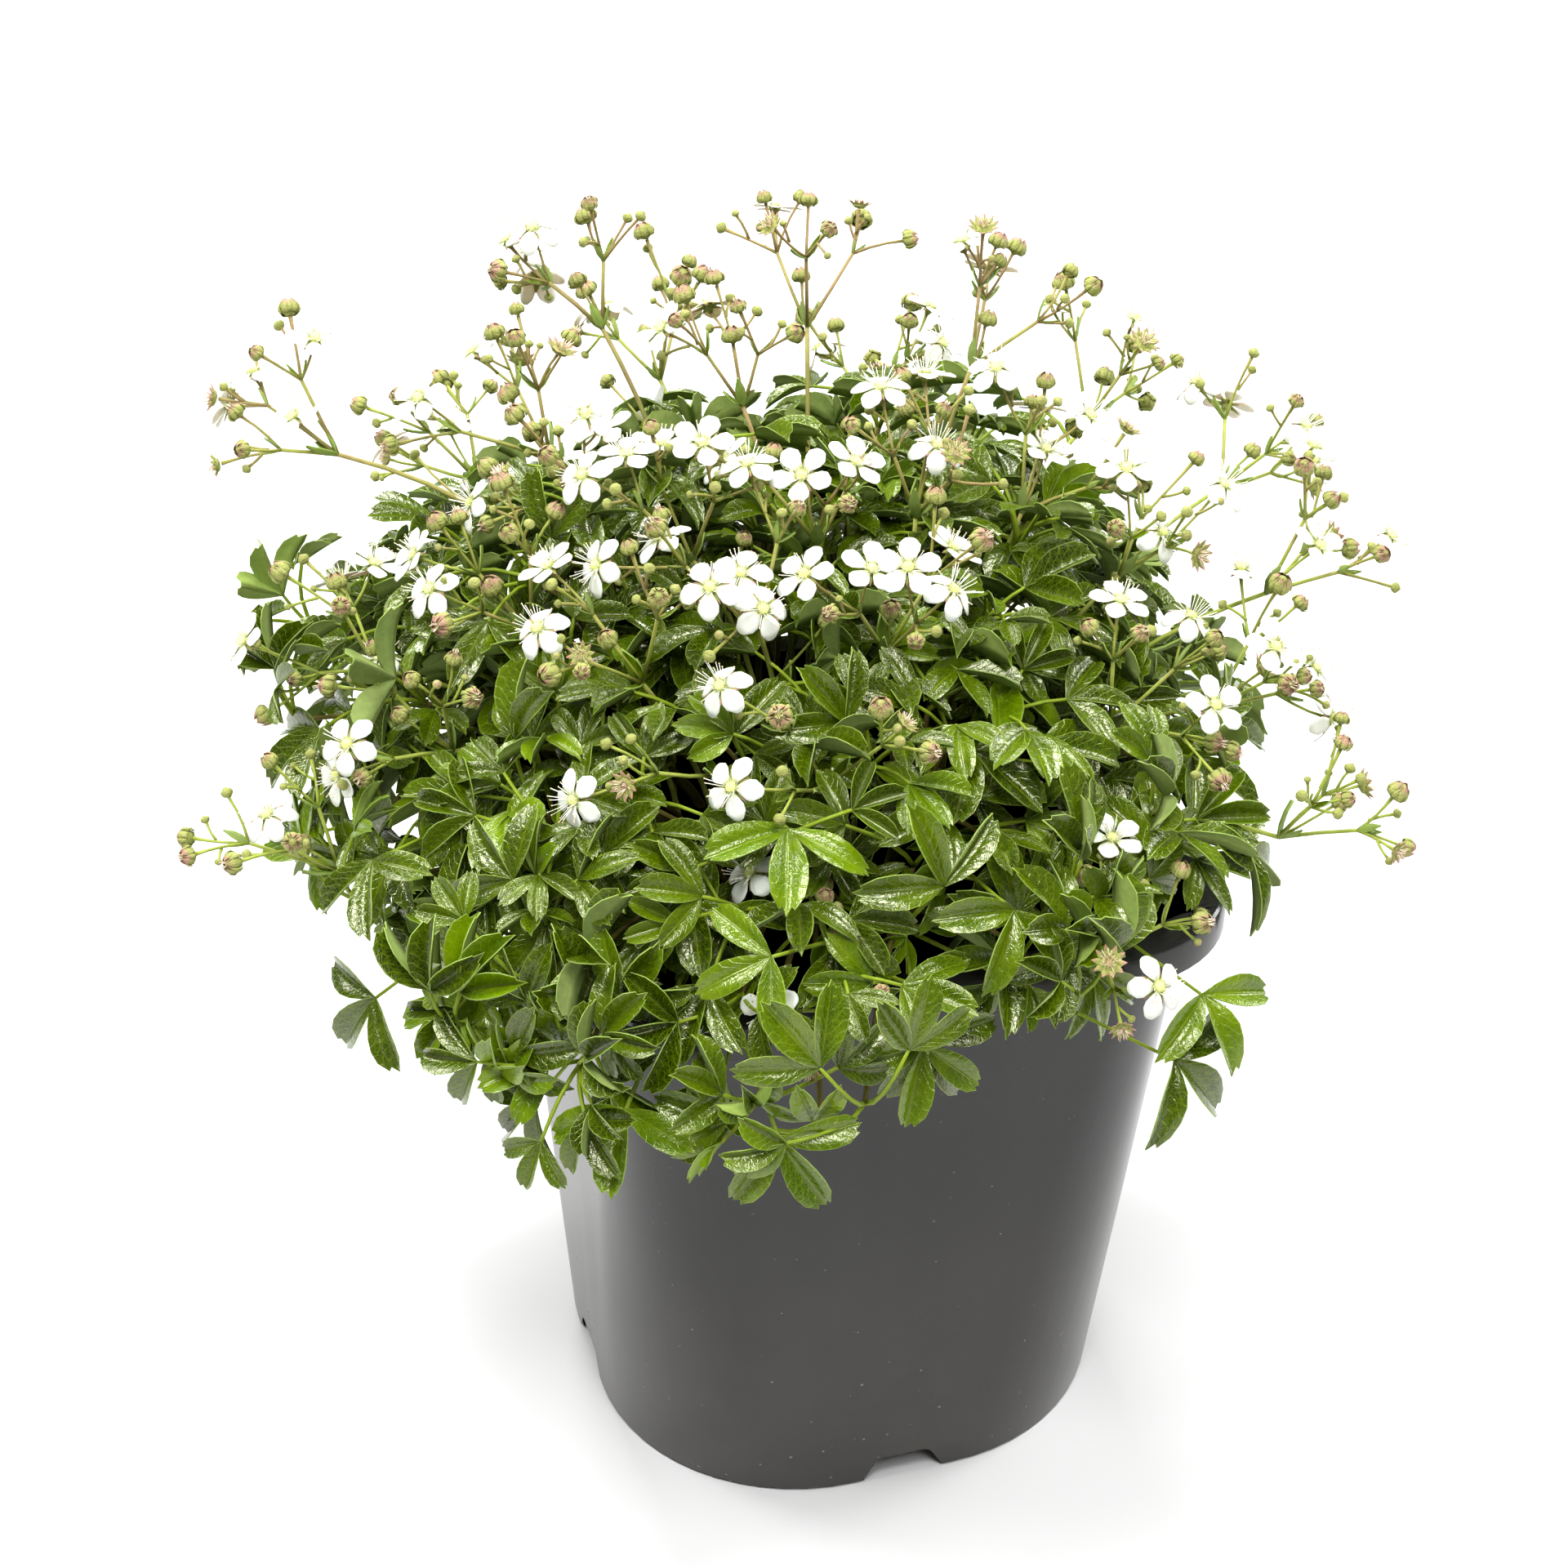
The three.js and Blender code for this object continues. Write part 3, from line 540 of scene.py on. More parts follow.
def in_outline(point, stretch=1):
    """Whether a point, moved out from the outline's middle, still falls inside the outline"""
    x, y = (middle + (at - middle) * stretch for at, middle in zip(seen_at(point), OUTLINE_MIDDLE))
    inside = False
    for (x1, y1), (x2, y2) in zip(LEAFY_OUTLINE, LEAFY_OUTLINE[1:] + LEAFY_OUTLINE[:1]):
        if (y1 > y) != (y2 > y) and x < x1 + (x2 - x1) * (y - y1) / (y2 - y1):
            inside = not inside
    return inside


def in_box(samples):
    low, high = (np.array(corner) / MM for corner in solid_box)
    reach = samples[:, 3:] + BOX_MARGIN
    return bool((samples[:, :3] - reach > low).all() and (samples[:, :3] + reach < high).all())


def bearings_apart(first, second):
    return abs((first - second + 180) % 360 - 180)


def spot_on_mound(share, bearing, number, draw):
    hang = max(0, 1 - (bearings_apart(bearing, HANGS_TO) / HANGS_OVER) ** 2)
    widest = WIDEST + (HANGING - WIDEST) * hang
    cosine = 1 - share * (1 - math.cos(math.radians(widest)))
    tilt = math.acos(cosine)
    behind = max(0, math.cos(math.radians(bearing - BACK_BEARING)))
    over_rim = max(0, math.degrees(tilt) - RIM_TILT) / RIM_RANGE
    shell = ROSETTE_SHELLS[number % len(ROSETTE_SHELLS)]
    if bearings_apart(bearing, FRONT_BEARING) < FRONT_ARC:
        shell = min(shell, FRONT_SHELL)
    scale = (shell * draw(*SHELL_SPREAD) + BACK_REACH * behind * math.sin(tilt)
             + HANG_REACH * over_rim)
    ring = MOUND["radius"] * scale * math.sin(tilt)
    height = MOUND["z"] + MOUND["height"] * scale * cosine + BACK_LIFT * behind
    return vec(MOUND["x"], MOUND["y"], height) + turned(vec(1, 0, 0), UP, bearing) * ring


def rosette_leaf(crown, axis, number, stretch, draw):
    tilt = draw(*STALK["tilt"])
    heading = leaning(axis, GOLDEN_ANGLE * number + draw(*STALK["sway"]), tilt)
    length = STALK["short"] + STALK["long"] * tilt / STALK["long_at"] * draw(*STALK["length"])
    joint = crown + heading * length
    control = crown + (axis * STALK["bend"][0] + heading * STALK["bend"][1]) * length
    facing = unit(axis + UP * draw(*STALK["rise"])
                  + vec(draw(*STALK["aside"]), draw(*STALK["aside"]), 0))
    leaf = leaf_layout(control, joint, facing, draw, draw(*STALK["opening"]))
    low = crown[2] < RIM["z"]
    age = min(draw(0, 1) * (1 - tilt / ADDED["age_tilt"]) + ADDED["low_age"] * low, 1)
    if draw(0, 1) < ADDED["turned_over"]:
        twist = draw(*ADDED["twist"])
        for key in ("side", "normal"):
            leaf[key] = turned(leaf[key], leaf["axis"], twist)
    leaf.update(line=curve_points(crown, control, joint, 4), age=age,
                length=leaf["length"] * draw(*ADDED["length"]), shape=draw(0, 1),
                spread=LEAFLET["spread"] * draw(*ADDED["spread"]) * (1 - ADDED["young_shut"] * age))
    tips = [joint + axis * leaf["length"] for axis, _ in leaflet_sides(leaf)]
    if not all(in_outline(point, stretch) for point in (joint, *tips)):
        return None
    blade = leaf_samples(leaf, THIN_BLADE)
    stalk = samples_at(leaf["line"], PETIOLE["radius"])
    leaf.update(blade=blade)
    return (in_box(blade) and clear_of_pot(np.vstack((blade, stalk)))
            and clear(blade, "none", THIN_GAP) and leaf)


def grow_rosette(crown, shoots, draw):
    centre = vec(MOUND["x"], MOUND["y"], SOIL_TOP)
    outward = unit(crown - centre)
    shoot = min(shoots, key=lambda one: far(one["crown"], crown)
                + TWIG["crowding"] * len(one["twigs"]))
    root = shoot["line"][-1 - int(draw(0, 5))]
    reach = far(root, crown)
    control = (root + crown) / 2 + UP * (reach * draw(*TWIG["lift"]))
    twig = curve_points(root, control, crown, 6)
    stretch = OUTLINE_TIGHT if draw(0, 1) < TIGHT_SHARE else 1
    if (reach > TWIG["longest"] or not all(in_outline(point, stretch) for point in twig[2:])
            or not clear_of_pot(samples_at(twig[1:], TWIG["radius"]))):
        return
    rise = draw(*TWIG["rise" if crown[2] > RIM["z"] + TWIG["low"] else "low_rise"])
    axis, found = unit(outward * draw(*TWIG["outward"]) + UP * rise), []
    for number in range(ROSETTE_LEAVES):
        leaf = first_fit(TRIALS["added"], lambda: rosette_leaf(crown, axis, number, stretch, draw))
        if leaf:
            keep(leaf["blade"], shoot["owner"] + "_more")
            found.append(leaf)
    if len(found) > 1:
        shoot["twigs"].append(twig)
        shoot["more"] += found


fill = stream(5)
LOW_SHARE, ROSETTE_SWAY = (0.62, 1), (-7, 7)
for shoot in shoots:
    shoot.update(more=[], twigs=[])
for number in range(HANGING_ROSETTES):
    around = HANGS_TO + HANGS_OVER * (2 * (GOLDEN_ANGLE * number % 360) / 360 - 1)
    grow_rosette(spot_on_mound(fill(*LOW_SHARE), around, number, fill), shoots, fill)
for number in range(ROSETTES):
    around = GOLDEN_ANGLE * number + fill(*ROSETTE_SWAY)
    grow_rosette(spot_on_mound((number + 0.5) / ROSETTES, around, number, fill), shoots, fill)
solid_points = np.vstack([samples for owner, samples in zip(placed["owners"], placed["samples"])
                          if not owner.endswith("_more")])[:, :3]


def near_solids(leaf):
    tip = leaf["joint"] + leaf["axis"] * leaf["length"]
    return all(np.linalg.norm(solid_points - point, axis=1).min() < SOLID_REACH
               for point in (leaf["joint"], tip))


for shoot in shoots:
    shoot["more"] = [leaf for leaf in shoot["more"] if near_solids(leaf)]
    shoot["twigs"] = [twig for twig in shoot["twigs"]
                      if any(far(leaf["line"][0], twig[-1]) < 1 for leaf in shoot["more"])]
print("more leaves:", sum(len(shoot["more"]) for shoot in shoots),
      "on twigs:", sum(len(shoot["twigs"]) for shoot in shoots))

# %% [markdown]
# Shader maths reads best as plain sums. One small class wraps a socket, so that `1 - mask` or
# `a * b` adds its Math node, and its one method `node` adds any other node, with its settings
# before its inputs.


# %% A socket that can be used in sums
class Socket:
    def __init__(self, socket):
        self.socket, self.tree = socket, socket.id_data

    def fill(self, target, value):
        if isinstance(value, Socket):
            self.tree.links.new(value.socket, target)
        else:
            target.default_value = value

    def node(self, kind, settings=None, inputs=None, output=0):
        made = self.tree.nodes.new("ShaderNode" + kind)
        for key, value in (settings or {}).items():
            setattr(made, key, value)
        for key, value in (inputs or {}).items():
            self.fill(next(s for s in made.inputs if s.name == key and s.enabled), value)
        return Socket(next(s for s in made.outputs if s.enabled and output in (0, s.name)))

    def math(self, operation, first, second=0):
        made = self.tree.nodes.new("ShaderNodeMath")
        made.operation = operation
        self.fill(made.inputs[0], first)
        self.fill(made.inputs[1], second)
        return Socket(made.outputs[0])

    def __add__(self, other):
        return self.math("ADD", self, other)

    def __sub__(self, other):
        return self.math("SUBTRACT", self, other)

    def __rsub__(self, other):
        return self.math("SUBTRACT", other, self)

    def __mul__(self, other):
        return self.math("MULTIPLY", self, other)

    def __abs__(self):
        return self.math("ABSOLUTE", self)

    __radd__, __rmul__ = __add__, __mul__

    def feeds(self, name):
        self.tree.links.new(self.socket, self.tree.nodes["Principled BSDF"].inputs[name])


# %% [markdown]
# Each finish wanders between a dark and a light tone. They are kept in one table, by name.

# %% Colours of the finishes, in screen levels from 0 to 255
TONES = {
    "old_leaf": ((32, 49, 0), (61, 82, 0)),
    "young_leaf": ((80, 112, 0), (114, 141, 2)),
    "leaf_under": ((113, 130, 67), (146, 163, 96)),
    "young_leaf_under": ((120, 144, 58), (154, 175, 86)),
    "leaf_margin": ((104, 130, 46), (150, 172, 86)),
    "petiole": ((101, 125, 17), (149, 168, 41)),
    "low_spray_stem": ((125, 144, 46), (170, 178, 79)),
    "high_spray_stem": ((120, 84, 67), (170, 130, 101)),
    "shoot_wood": ((70, 55, 24), (110, 106, 41)),
    "petal": ((226, 227, 214), (240, 239, 230)),
    "stamen_thread": ((244, 244, 220), (255, 255, 250)),
    "anther_dust": ((196, 164, 122), (240, 226, 186)),
    "flower_eye": ((207, 222, 106), (249, 250, 165)),
    "green_calyx": ((118, 127, 50), (178, 180, 106)),
    "mauve_calyx": ((130, 82, 74), (194, 142, 132)),
    "dry_stamen": ((207, 163, 139), (250, 242, 218)),
    "plastic": ((38, 38, 37), (47, 46, 45)),
    "soil": ((29, 20, 14), (74, 53, 36)),
    "bark": ((77, 50, 31), (170, 127, 84)),
    "pale_floor": ((203, 203, 203), (208, 208, 208)),
}
VEIN, PALE_EDGE, UNDER_RIB = (140, 163, 20), (158, 180, 78), (166, 180, 108)
RED_STALK, PETAL_BASE = (168, 115, 60), (206, 214, 150)
# The pale grey is the colour of dust on the pot, and also of the painted light towards its foot.
DUST_AND_PAINTED_LIGHT, FIBRE = (130, 124, 114), (130, 96, 65)


# %% [markdown]
# A few short functions add the nodes that nearly every finish uses.


# %% Short names for the nodes used most
def srgb(levels):
    """Colour in screen levels of 0 to 255, as the linear colour that a shader reads"""
    return (*[(c / 255 / 12.92 if c <= 10 else ((c / 255 + 0.055) / 1.055) ** 2.4) for c in levels], 1)


def mix(first, second, factor):
    inputs = {"Factor": factor, "A": first, "B": second}
    return factor.node("Mix", {"data_type": "RGBA"}, inputs, "Result")


def tone(name, factor):
    return mix(*[srgb(levels) for levels in TONES[name]], factor)


def ramp(value, low, high):
    return value.node("MapRange", {"interpolation_type": "SMOOTHSTEP"},
                      {"Value": value, "From Min": low, "From Max": high})


def cloud(place, scale, detail=3.0):
    return place.node("TexNoise", None, {"Vector": place, "Scale": scale, "Detail": detail})


def cells(place, scale, feature="F1"):
    return place.node("TexVoronoi", {"feature": feature}, {"Vector": place, "Scale": scale}, "Distance")


def scaled(place, *scale):
    return place.node("Mapping", None, {"Vector": place, "Scale": scale})


def axis_of(vector, axis):
    return vector.node("SeparateXYZ", None, {"Vector": vector}, axis)


def tint_of(place):
    return place.node("Attribute", {"attribute_name": "tint"}, None, "Fac")


def raised(height, strength, distance):
    bump = height.node("Bump", None, {"Height": height, "Strength": strength, "Distance": distance})
    bump.feeds("Normal")


def finish(name, roughness, **constants):
    """New material, with the object's own place and the blade's map as sockets"""
    material = bpy.data.materials.new(name)
    material.use_nodes = True
    shader = material.node_tree.nodes["Principled BSDF"]
    shader.inputs["Roughness"].default_value = roughness
    for key, value in constants.items():
        shader.inputs[key.replace("_", " ")].default_value = value
    start = Socket(shader.outputs[0])
    place = start.node("TexCoord", None, None, "Object")
    surface = start.node("UVMap", {"uv_map": "surface"})
    return material, place, surface


def two_tone(name, roughness, scale, bump=None, **constants):
    """Finish that wanders between its tones, with a grain given by scale, strength and depth"""
    material, place, _ = finish(name, roughness, **constants)
    tone(name, cloud(place, scale)).feeds("Base Color")
    if bump:
        raised(cloud(place, bump[0]), *bump[1:])
    return material


print("shader helpers ready")

# %% [markdown]
# A leaflet's upper side is dark, wet-looking green. It has a pale midrib, side veins that run
# forward from it, a net of fine veins that wrinkles the gloss, and a thin pale margin. The
# patterns follow the blade, so they read its own map: along the leaflet, and across it.

# %% Leaf finishes
def from_rib(surface):
    """0 on the rib and 1 at the blade's edges"""
    return abs(axis_of(surface, "Y") - 0.5) * 2


def leaf_upper():
    material, place, surface = finish("leaf_upper_side", 0.3, Specular_IOR_Level=0.75,
                                      Specular_Tint=(1.0, 1.0, 0.74, 1))
    along, side = axis_of(surface, "X"), from_rib(surface)
    rib = 1 - ramp(side, 0.0, 0.08)
    slant = along * 7 - side * 2.6
    lanes = slant.math("FRACT", slant)
    veins = (1 - ramp(abs(lanes - 0.5), 0.0, 0.12)) * ramp(side, 0.02, 0.2)
    net = 1 - ramp(cells(scaled(surface, 22, 9, 1), 1.0, "DISTANCE_TO_EDGE"), 0.0, 0.2)
    blotch = ramp(cloud(place, 110), 0.3, 0.7)
    blade = mix(tone("old_leaf", blotch), tone("young_leaf", blotch), ramp(tint_of(place), 0.15, 1.0))
    blade = mix(blade, srgb(VEIN), veins * 0.24 + net * 0.16 + rib * 0.36)
    margin = ramp(side.math("MAXIMUM", side, along * 5.2 - 4.2), 0.94, 1.0)
    mix(blade, srgb(PALE_EDGE), margin * 0.45).feeds("Base Color")
    (0.1 + cloud(place, 800) * 0.16).feeds("Roughness")
    raised(cloud(place, 1100, 2.0) * 0.65 - net * 0.14 - veins * 0.4 - rib * 0.8, 1.0, 0.00009)
    return material


def leaf_under():
    material, place, surface = finish("leaf_under_side", 0.62, Specular_IOR_Level=0.15)
    rib = 1 - ramp(from_rib(surface), 0.0, 0.1)
    down = cloud(place, 900)
    blade = mix(tone("leaf_under", down), tone("young_leaf_under", down), tint_of(place))
    mix(blade, srgb(UNDER_RIB), rib * 0.6).feeds("Base Color")
    (0.55 + down * 0.2).feeds("Roughness")
    raised(rib + down * 0.4, 0.6, 0.0002)
    return material


# %% [markdown]
# Petioles are fresh green, and redder on young leaves. Spray stems are green below and flush
# brown and mauve towards their tops.


# %% Stalk finishes
def petiole_skin():
    material, place, _ = finish("petiole_skin", 0.5, Specular_IOR_Level=0.25)
    green = tone("petiole", cloud(place, 500))
    mix(green, srgb(RED_STALK), ramp(tint_of(place), 0.8, 1.1) * 0.5).feeds("Base Color")
    raised(cloud(place, 2500), 0.4, 0.0001)
    return material


def spray_skin():
    material, place, _ = finish("spray_stem_skin", 0.62, Specular_IOR_Level=0.3)
    patches = cloud(place, 90)
    low = tone("low_spray_stem", cloud(place, 700))
    high = tone("high_spray_stem", cloud(place, 800))
    climb = ramp(axis_of(place, "Z") * 14 + patches * 1.6, 3.05, 4.1)
    mix(low, high, climb * 0.75).feeds("Base Color")
    raised(cloud(place, 3500), 0.7, 0.00015)
    return material


# %% [markdown]
# Petals are soft white with fine folds and a greenish base. A calyx is green and flushes mauve
# with age. Finishes of two tones and a grain come straight from the table.


# %% Flower finishes
def petal():
    material, place, surface = finish("white_petal", 0.55, Subsurface_Weight=0.12,
                                      Subsurface_Scale=0.002)
    folds = cloud(scaled(surface, 3, 16, 1), 1.0)
    outward = ramp(axis_of(surface, "X"), 0.0, 0.28)
    mix(srgb(PETAL_BASE), tone("petal", folds), outward).feeds("Base Color")
    (0.5 + cloud(place, 900) * 0.15).feeds("Roughness")
    raised(folds, 0.3, 0.0002)
    return material


def flower_eye():
    material, place, _ = finish("flower_eye", 0.6)
    bumps = cells(place, 2600)
    tone("flower_eye", bumps).feeds("Base Color")
    raised(bumps, 0.8, 0.0002)
    return material


def calyx():
    material, place, surface = finish("calyx_skin", 0.62, Specular_IOR_Level=0.3)
    along, age, patches = axis_of(surface, "X"), tint_of(place), cloud(place, 420)
    flush = ramp(along + patches * 0.7 + age * 0.2, 0.9, 1.35)
    mix(tone("green_calyx", patches), tone("mauve_calyx", patches), flush * 0.85).feeds("Base Color")
    raised(cloud(place, 2600), 0.9, 0.0004)
    return material


PLANT_FINISHES = [
    leaf_upper(), leaf_under(),
    two_tone("leaf_margin", 0.5, 1200, (1200, 0.3, 0.0001), Specular_IOR_Level=0.2),
    petiole_skin(), spray_skin(),
    two_tone("shoot_wood", 0.75, 260, (900, 0.7, 0.0003), Specular_IOR_Level=0.2),
    petal(),
    two_tone("stamen_thread", 0.5, 900),
    two_tone("anther_dust", 0.8, 1800),
    flower_eye(), calyx(),
    two_tone("dry_stamen", 0.7, 1400),
]
(UPPER, UNDER, MARGIN, PETIOLE_SKIN, SPRAY_SKIN, WOOD, PETAL, FILAMENT, ANTHER, EYE, CALYX,
 DRY) = range(len(PLANT_FINISHES))
print("plant finishes:", [material.name for material in PLANT_FINISHES])

# %% [markdown]
# Each leaflet, petal, stamen and bud is made once and then stamped in place many times. A pattern
# mesh keeps two things with it: its own map, called surface, and the number of its finish. The
# stamp adds a tint, which the finishes read as age.


# %% Patterns and how they are stamped
def new_pattern():
    bm = bmesh.new()
    bm.verts.layers.float_vector.new("flat")
    return bm


def opened(mesh):
    bm = bmesh.new()
    bm.from_mesh(mesh)
    return bm


def once(parts):
    """Each part a single time, in the order in which they come, which is the same in every run"""
    return list(dict.fromkeys(parts))


def paint(verts, number):
    for face in {face for v in verts for face in v.link_faces}:
        face.material_index = number


def blade_grid(bm, along, across, shape, thickness, sides):
    """Grid from root to tip, bent by shape(u, s), with finishes for its upper, under and edge faces"""
    flat = bm.verts.layers.float_vector["flat"]
    made = bmesh.ops.create_grid(bm, x_segments=along, y_segments=across, size=1)["verts"]
    for v in made:
        u, s = (v.co.x + 1) / 2, v.co.y
        v[flat] = (u, (s + 1) / 2, 0)
        v.co = shape(u, s)
    faces = once(face for v in made for face in v.link_faces)
    bmesh.ops.recalc_face_normals(bm, faces=faces)
    if sum(face.normal.z for face in faces) < 0:
        bmesh.ops.reverse_faces(bm, faces=faces)
    paint(made, sides[0])
    before = set(bm.faces)
    bmesh.ops.solidify(bm, geom=faces, thickness=thickness)
    walls = [face for face in bm.faces if face not in before]
    uppers = set(faces)
    for face in walls:
        shared = sum(other in uppers for edge in face.edges for other in edge.link_faces)
        face.material_index = sides[2] if shared else sides[1]
    return made


def close_pattern(bm, name):
    flat = bm.verts.layers.float_vector["flat"]
    surface = bm.loops.layers.uv.new("surface")
    bm.normal_update()
    for face in bm.faces:
        face.smooth = True
        for loop in face.loops:
            loop[surface].uv = loop.vert[flat][:2]
    for edge in bm.edges:
        edge.smooth = len({face.material_index for face in edge.link_faces}) < 2
    bm.verts.layers.float_vector.remove(flat)
    made = bpy.data.meshes.new(name)
    bm.to_mesh(made)
    bm.free()
    return made


def stamp(bm, pattern, matrix, tint):
    first = len(bm.verts)
    bm.from_mesh(pattern)
    bm.verts.ensure_lookup_table()
    new = bm.verts[first:]
    bmesh.ops.transform(bm, matrix=matrix, verts=new)
    layer = bm.verts.layers.float["tint"]
    for v in new:
        v[layer] = tint


def pose_matrix(origin, x, y, z, size):
    """Pattern's three directions at a place in millimetres, as metres"""
    columns = np.column_stack((x * size, y * size, z * size, origin)) * MM
    return Matrix([list(row) for row in columns] + [[0, 0, 0, 1]])


# %% [markdown]
# Stems and stalks are round tubes along a line of points, each with its own radius.


# %% Tubes for stems and stalks
def add_tubes(bm, tubes, material, smoothness=1):
    """Tubes given by points and radii in millimetres, and a tint"""
    for tint in sorted({tube[2] for tube in tubes}):
        curve = bpy.data.curves.new("tube", "CURVE")
        curve.dimensions, curve.bevel_depth, curve.use_fill_caps = "3D", MM, True
        curve.bevel_resolution = smoothness
        for points, radii, own in tubes:
            if own != tint:
                continue
            spline = curve.splines.new("POLY")
            spline.points.add(len(points) - 1)
            for knot, point, radius in zip(spline.points, points, radii):
                knot.co, knot.radius = (*[x * MM for x in point], 1), radius
        holder = bpy.data.objects.new("tube", curve)
        mesh = bpy.data.meshes.new_from_object(holder)
        while mesh.uv_layers:
            mesh.uv_layers.remove(mesh.uv_layers[0])
        tube = opened(mesh)
        bmesh.ops.remove_doubles(tube, verts=tube.verts, dist=1e-7)
        layer = tube.verts.layers.float.new("tint")
        for v in tube.verts:
            v[layer] = tint
        for face in tube.faces:
            face.material_index, face.smooth = material, True
        tube.to_mesh(mesh)
        tube.free()
        bm.from_mesh(mesh)
        bpy.data.objects.remove(holder)
        bpy.data.curves.remove(curve)
        bpy.data.meshes.remove(mesh)


def taper(first, last, count):
    return [first + (last - first) * i / (count - 1) for i in range(count)]


def new_piece():
    bm = bmesh.new()
    bm.verts.layers.float.new("tint")
    bm.loops.layers.uv.new("surface")
    return bm


def stand_for(piece, node):
    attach(piece, "root")
    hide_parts(node)


def mesh_of(bm, name):
    mesh = bpy.data.meshes.new(name)
    bm.to_mesh(mesh)
    bm.free()
    made = bpy.data.objects.new(name, mesh)
    bpy.context.scene.collection.objects.link(made)
    return made


def finish_piece(bm, name, finishes, node):
    """Piece with only the finishes that it uses, standing for its solid, and no wider than the solids"""
    low, high = solid_box
    for v in bm.verts:
        v.co = [min(max(x, least), most) for x, least, most in zip(v.co, low, high)]
    used = sorted({face.material_index for face in bm.faces})
    for face in bm.faces:
        face.material_index = used.index(face.material_index)
    piece = mesh_of(bm, name)
    for index in used:
        piece.data.materials.append(finishes[index])
    stand_for(piece, node)
    return piece


# %% [markdown]
# The leaflet is broadest past its middle and ends in three teeth. It is folded a little along its
# rib, each half bulges, and the tip droops. Five patterns differ in fold and droop, from an open
# old leaflet to a young one that is still nearly shut.

# %% Leaflet patterns
HALF_WIDTH, BROADEST, BLADE_THICKNESS = 0.205, 0.6, 0.014
TEETH = {0: 1.0, 1: 0.92, 2: 0.965, 3: 0.83}
LEAFLET_SHAPES = [(0.16, 0.08, 0.0, 1.0), (0.08, 0.2, 0.06, 0.94), (0.26, 0.02, -0.06, 0.88),
                  (0.16, 0.3, 0.04, 1.0), (0.45, 0.06, 0.0, 0.76)]


def leaflet_width(u):
    if u < BROADEST:
        return 0.06 + 0.94 * math.sin(math.pi / 2 * u / BROADEST) ** 0.9
    return 1 - 0.5 * ((u - BROADEST) / (1 - BROADEST)) ** 2.2


def leaflet_shape(fold, droop, twist, breadth):
    def shape(u, s):
        reach = u * TEETH[round(abs(s) * 3)]
        width = leaflet_width(reach) * breadth
        bulge = 0.035 * math.sin(math.pi * abs(s)) * width
        wave = 0.012 * math.sin(9 * reach + 5 * fold) * s
        rise = fold * abs(s) * width - droop * reach * reach + bulge + wave + twist * s * reach
        return Vector((reach, s * width * HALF_WIDTH, rise))
    return shape


def leaflet_pattern(number, *shape):
    bm = new_pattern()
    blade_grid(bm, 5, 6, leaflet_shape(*shape), BLADE_THICKNESS, (UPPER, UNDER, MARGIN))
    return close_pattern(bm, f"leaflet_{number}")


leaflets = [leaflet_pattern(number, *shape) for number, shape in enumerate(LEAFLET_SHAPES)]
OPEN_SHAPES = 4
print("leaflet faces:", [len(pattern.polygons) for pattern in leaflets])

# %% [markdown]
# A leafy shoot is a woody stem that stands in its hole in the soil, the leaves on their green
# petioles, and a tuft of small young leaves at its tip. One mesh holds it all, so that nothing
# hangs loose, and it stands for the plain shoot.


# %% Leafy shoots
OUTER_LEAFLET = 0.95
STEM_TIP = {"past": 1.5, "radius": 0.9}
PETIOLE_LINE = {"below": 0.35, "rise": (0, 1.2), "radii": (0.55, 0.4), "thin": (0.5, 0.36)}
YOUNG_SHAPES, AGE_POWER = 0.6, 1.6


def add_leaf(bm, leaf, age, shape):
    for number, (axis, side) in enumerate(leaflet_sides(leaf)):
        size = leaf["length"] * (1.0 if number == 1 else OUTER_LEAFLET)
        pattern = leaflets[(shape + (number == 2)) % OPEN_SHAPES if shape < OPEN_SHAPES else shape]
        stamp(bm, pattern, pose_matrix(leaf["joint"], axis, -side, leaf["normal"], size), age)


TUFT = {"leaves": 3, "sway": (-30, 30), "tilt": (12, 38), "stalk": (4, 9), "length": (6, 9),
        "spread": 38}


def add_tuft(bm, shoot, draw):
    tubes = []
    for number in range(TUFT["leaves"]):
        azimuth = 360 / TUFT["leaves"] * number + draw(*TUFT["sway"])
        heading = leaning(shoot["axis"], azimuth, draw(*TUFT["tilt"]))
        joint = shoot["crown"] + heading * draw(*TUFT["stalk"])
        leaf = leaf_layout(shoot["crown"], joint, unit(shoot["axis"] - heading * 0.2), draw)
        leaf.update(length=draw(*TUFT["length"]), spread=TUFT["spread"])
        add_leaf(bm, leaf, 1.0, OPEN_SHAPES)
        tubes.append(([shoot["crown"], joint], (0.45, 0.35), 0.2))
    return tubes


